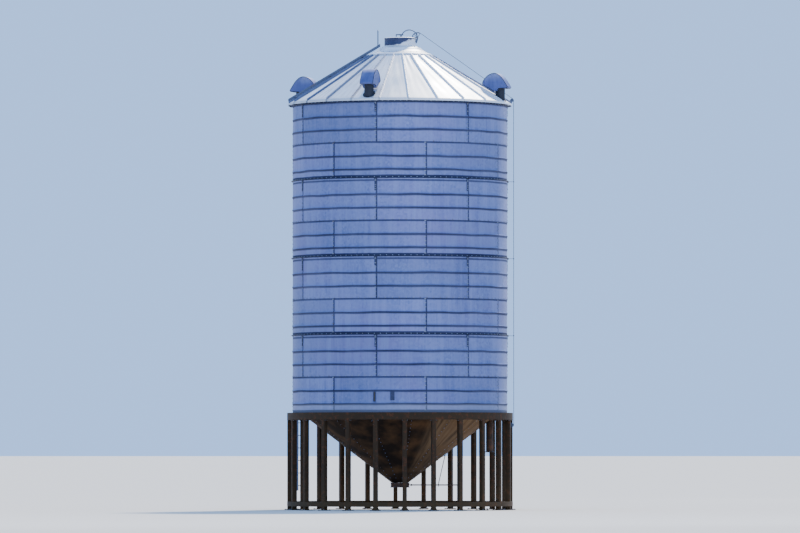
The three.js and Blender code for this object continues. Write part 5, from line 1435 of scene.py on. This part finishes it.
# Paler streaks on the right side: painted light bounced up from the ground.
hopper_lit_from = add(tree, "MapRange", round_it, 0.30, 0.46, 0.0, 1.0)
hopper_lit_to = add(tree, "MapRange", round_it, 1.7, 2.3, 1.0, 0.0)
hopper_lit_round = add(tree, "Math", hopper_lit_from, hopper_lit_to, operation="MULTIPLY")
hopper_lit_above = add(tree, "MapRange", where.outputs["Z"], 0.95, 1.7, 0.35, 1.0)
hopper_lit = add(tree, "Math", hopper_lit_round, hopper_lit_above, operation="MULTIPLY")
round_often = add(tree, "Math", round_it, 16.0, operation="MULTIPLY")
run_space = add(tree, "CombineXYZ", X=round_often, Z=where.outputs["Z"])
runs = add(tree, "TexNoise", Vector=run_space, Scale=1.0, Detail=5.0, Roughness=0.6)
run_share = add(tree, "MapRange", runs, 0.36, 0.62, 0.25, 0.95)
hopper_lit_share = add(tree, "Math", hopper_lit, run_share, operation="MULTIPLY")
streaked = add(tree, "Mix", hopper_lit_share, sheet_shade, "#7b6044", data_type="RGBA")
lumps = add(tree, "Bump", Height=cake, Strength=0.35, Distance=0.006)
add(tree, "OutputMaterial", Surface=add(tree, "BsdfPrincipled", Base_Color=streaked, Roughness=0.85,
                                        Specular_IOR_Level=0.2, Normal=lumps))

rng = np.random.default_rng(14)
sheets, shades, hopper_seams = [], [], []
radii = np.arange(0.35, 2.5, 0.11)
for sheet in range(HOPPER_SHEETS):
    share = np.linspace(0, 1, 11)[:, None]
    reach = np.linspace(HOPPER_TIP_RADIUS, HOPPER_BAND, 30)[None, :]
    start = math.radians(7) + sheet * TURN / HOPPER_SHEETS
    azimuth = start + share * (TURN / HOPPER_SHEETS) + share * 0.030 / np.maximum(reach, 0.5)
    over = 0.0035 * (1 - share)
    hollow = dents(rng, share, (reach - HOPPER_TIP_RADIUS) / (HOPPER_BAND - HOPPER_TIP_RADIUS), 0.004)
    height = hopper_outside(reach) + over + np.abs(hollow) + 0.001
    skin = round_about(reach, azimuth, height)
    sheets.append(plate(round_about(reach, azimuth, height + 0.004), skin))
    shades += [rng.uniform(0.0, 0.35)] * (2 * share.size * reach.size)
    seam = start + 0.015 / radii
    hopper_seams.append((round_about(radii, seam, hopper_outside(radii) + 0.001),
                         round_about(math.sin(HOPPER_SLOPE), seam, -math.cos(HOPPER_SLOPE))))
mesh = made_of("hopper_sheets", sheets, sharp=40.0)
mark(mesh, "shade", shades)
keep(mesh, hopper_sheet, "hopper_sheet", "hopper_cone")
band_low = hopper_outside(HOPPER_BAND)
keep(made_of("hopper_band", [turned([
    (HOPPER_BAND, band_low), (HOPPER_BAND, band_low + 0.070), (HOPPER_BAND - 0.006, band_low + 0.070),
    (HOPPER_BAND - 0.006, band_low + 0.006),
], SMOOTH_TURN)], sharp=40.0), hopper_sheet, "hopper_sheet")
bolts("hopper_bolts", "hopper_sheet", hopper_seams, head=0.0085)


# Outlet housing: a box of rusted plate steel, welded up under the hopper's tip, with a bolted flange at the top
# and one at the bottom. The gate's slot is open on the right, between two guide bars.
plain_steel, tree = new_material("rusted_plate_steel")
# Mill plate and bar without paint: brown surface rust over dark scale.
place = add(tree, "TexCoord").outputs["Object"]
rust_patch = add(tree, "TexNoise", Vector=place, Scale=9.0, Detail=8.0, Roughness=0.7)
rust_mix = add(tree, "MapRange", rust_patch, 0.4, 0.62, 0.0, 1.0)
rust_colour = add(tree, "Mix", rust_mix, "#2e2620", "#5c3b25", data_type="RGBA")
pitting = add(tree, "Bump", Height=rust_patch, Strength=0.35, Distance=0.002)
add(tree, "OutputMaterial", Surface=add(tree, "BsdfPrincipled", Base_Color=rust_colour, Metallic=0.35,
                                        Roughness=0.68, Normal=pitting))

HOUSING_HALF, HOUSING_LOW, HOUSING_HIGH = 0.230, 0.530, 0.6447
BOX_HALF = HOUSING_HALF - 0.012
THROAT_HALF, SLOT_LOW, SLOT_HIGH, SLOT_HALF = 0.160, 0.585, 0.605, 0.190


def frame_of(half, hole, low, high):
    """A square frame: four bars round a square hole, mitred into one solid."""
    return skinned([[(reach * x, reach * y, height) for x, y in ((-1, -1), (1, -1), (1, 1), (-1, 1))]
                    for reach, height in ((half, low), (half, high), (hole, high), (hole, low))])


keep(made_of("outlet_box", [
    frame_of(HOUSING_HALF, THROAT_HALF, HOUSING_HIGH - 0.010, HOUSING_HIGH),
    frame_of(BOX_HALF, THROAT_HALF, SLOT_HIGH, HOUSING_HIGH - 0.0105),
    frame_of(BOX_HALF, THROAT_HALF, HOUSING_LOW + 0.0105, SLOT_LOW),
    frame_of(HOUSING_HALF, THROAT_HALF, HOUSING_LOW, HOUSING_LOW + 0.010),
    block((-BOX_HALF, SLOT_HALF, SLOT_LOW - 0.001), (HOUSING_HALF, BOX_HALF, SLOT_HIGH + 0.001)),
    block((-BOX_HALF, -BOX_HALF, SLOT_LOW - 0.001), (HOUSING_HALF, -SLOT_HALF, SLOT_HIGH + 0.001)),
    block((-BOX_HALF, -SLOT_HALF, SLOT_LOW - 0.001), (-SLOT_HALF, SLOT_HALF, SLOT_HIGH + 0.001)),
], soften=0.0012), plain_steel, "hopper_sheet", "outlet_housing")
flange_rows = []
for along in np.linspace(-0.205, 0.205, 6):
    for x, y in ((along, -0.2175), (along, 0.2175), (-0.2175, along), (0.2175, along)):
        flange_rows += [((x, y, HOUSING_HIGH - 0.0105), (0, 0, -1)), ((x, y, HOUSING_LOW + 0.0105), (0, 0, 1))]
bolts("housing_bolts", "hopper_sheet", flange_rows, head=0.0075)


# Slide gate: a flat plate in the slot with a lug, a long round operating rod and a T handle on the right, all of
# bare bar and plate gone brown.
GATE_LOW, GATE_HIGH = 0.5853, 0.5953
GATE_MIDDLE = (GATE_LOW + GATE_HIGH) / 2
keep(made_of("gate_plate", [
    block((-0.180, -0.180, GATE_LOW), (0.260, 0.180, GATE_HIGH)),
    block((0.246, -0.040, GATE_MIDDLE - 0.025), (0.276, 0.040, GATE_MIDDLE + 0.025)),
    bar((0.276, 0, GATE_MIDDLE), (0.284, 0, GATE_MIDDLE), 0.022, 6),
], soften=0.0012), plain_steel, "galvanised_fittings", "slide_gate", body="gate")
keep(made_of("gate_rod", [
    bar((0.262, 0, GATE_MIDDLE), (1.345, 0, GATE_MIDDLE), 0.0138, 20),
    bar((1.345, -0.110, GATE_MIDDLE), (1.345, 0.110, GATE_MIDDLE), 0.0138, 20, 0.003),
    bar((1.327, 0, GATE_MIDDLE), (1.332, 0, GATE_MIDDLE), 0.0175, 18),
]), plain_steel, "galvanised_fittings", body="gate")


# Rod guide: an eye plate of plain rusted steel round the gate's rod, hung from the hopper by a round bar that
# is welded to a pad on the cone.
GUIDE_X, GUIDE_HALF, PAD_RADIUS = 0.914, 0.040, 1.070
hole = arc(0.0, 0.0, 0.0156, angles(24))
edge = [np.clip(corner, -GUIDE_HALF, GUIDE_HALF) for corner in arc(0.0, 0.0, 1.5 * GUIDE_HALF, angles(24))]
eye = skinned([[(GUIDE_X + x, y, GATE_MIDDLE + z) for y, z in ring] for ring, x in (
    (edge, -0.008), (edge, 0.008), (hole, 0.008), (hole, -0.008))])
pad = boxed([(radius, across, hopper_outside(radius) - drop / math.cos(HOPPER_SLOPE))
             for radius in (PAD_RADIUS - 0.042, PAD_RADIUS + 0.042) for across in (-0.042, 0.042)
             for drop in (0.0125, 0.0035)])
keep(made_of("rod_guide_steel", [
    eye, pad,
    bar((GUIDE_X, 0, GATE_MIDDLE + GUIDE_HALF - 0.006),
        (PAD_RADIUS, 0, hopper_outside(PAD_RADIUS) - 0.012), 0.009),
], soften=0.0008), plain_steel, "galvanised_fittings", "rod_guide")


# Aeration inlet: a short round duct of plain steel sheet with a rolled bead, let into the hopper's right side,
# and a bolted flange at its mouth.
DUCT_X, DUCT_Y, DUCT_LOW = 2.120, -0.250, 1.380


def duct_ring(reach, rise, sides=40):
    """A ring of the duct, a rise above its mouth."""
    return [(x, y, DUCT_LOW + rise) for x, y in arc(DUCT_X, DUCT_Y, reach, angles(sides))]


duct = [duct_ring(*pair) for pair in (
    (0.080, 0.0), (0.083, 0.002), (0.083, 0.150), (0.085, 0.158), (0.085, 0.166), (0.083, 0.174))]
duct += [[(x, y, hopper_outside(math.hypot(x, y)) - 0.001) for x, y, _ in duct_ring(reach, 0.0)]
         for reach in (0.083, 0.080)]
flange = [duct_ring(*pair) for pair in (
    (0.078, -0.016), (0.111, -0.016), (0.113, -0.014), (0.113, -0.002), (0.111, 0.0), (0.078, 0.0))]
keep(made_of("inlet_duct", [skinned(duct), skinned(flange)]), plain_steel, "galvanised_fittings", "aeration_inlet")
bolts("inlet_bolts", "galvanised_fittings", [(duct_ring(0.099, 0.0, 8), (0, 0, 1))], head=0.0070)


size = {"cad": [list(corner) for corner in cad_box], "visual": [list(corner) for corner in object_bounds()]}
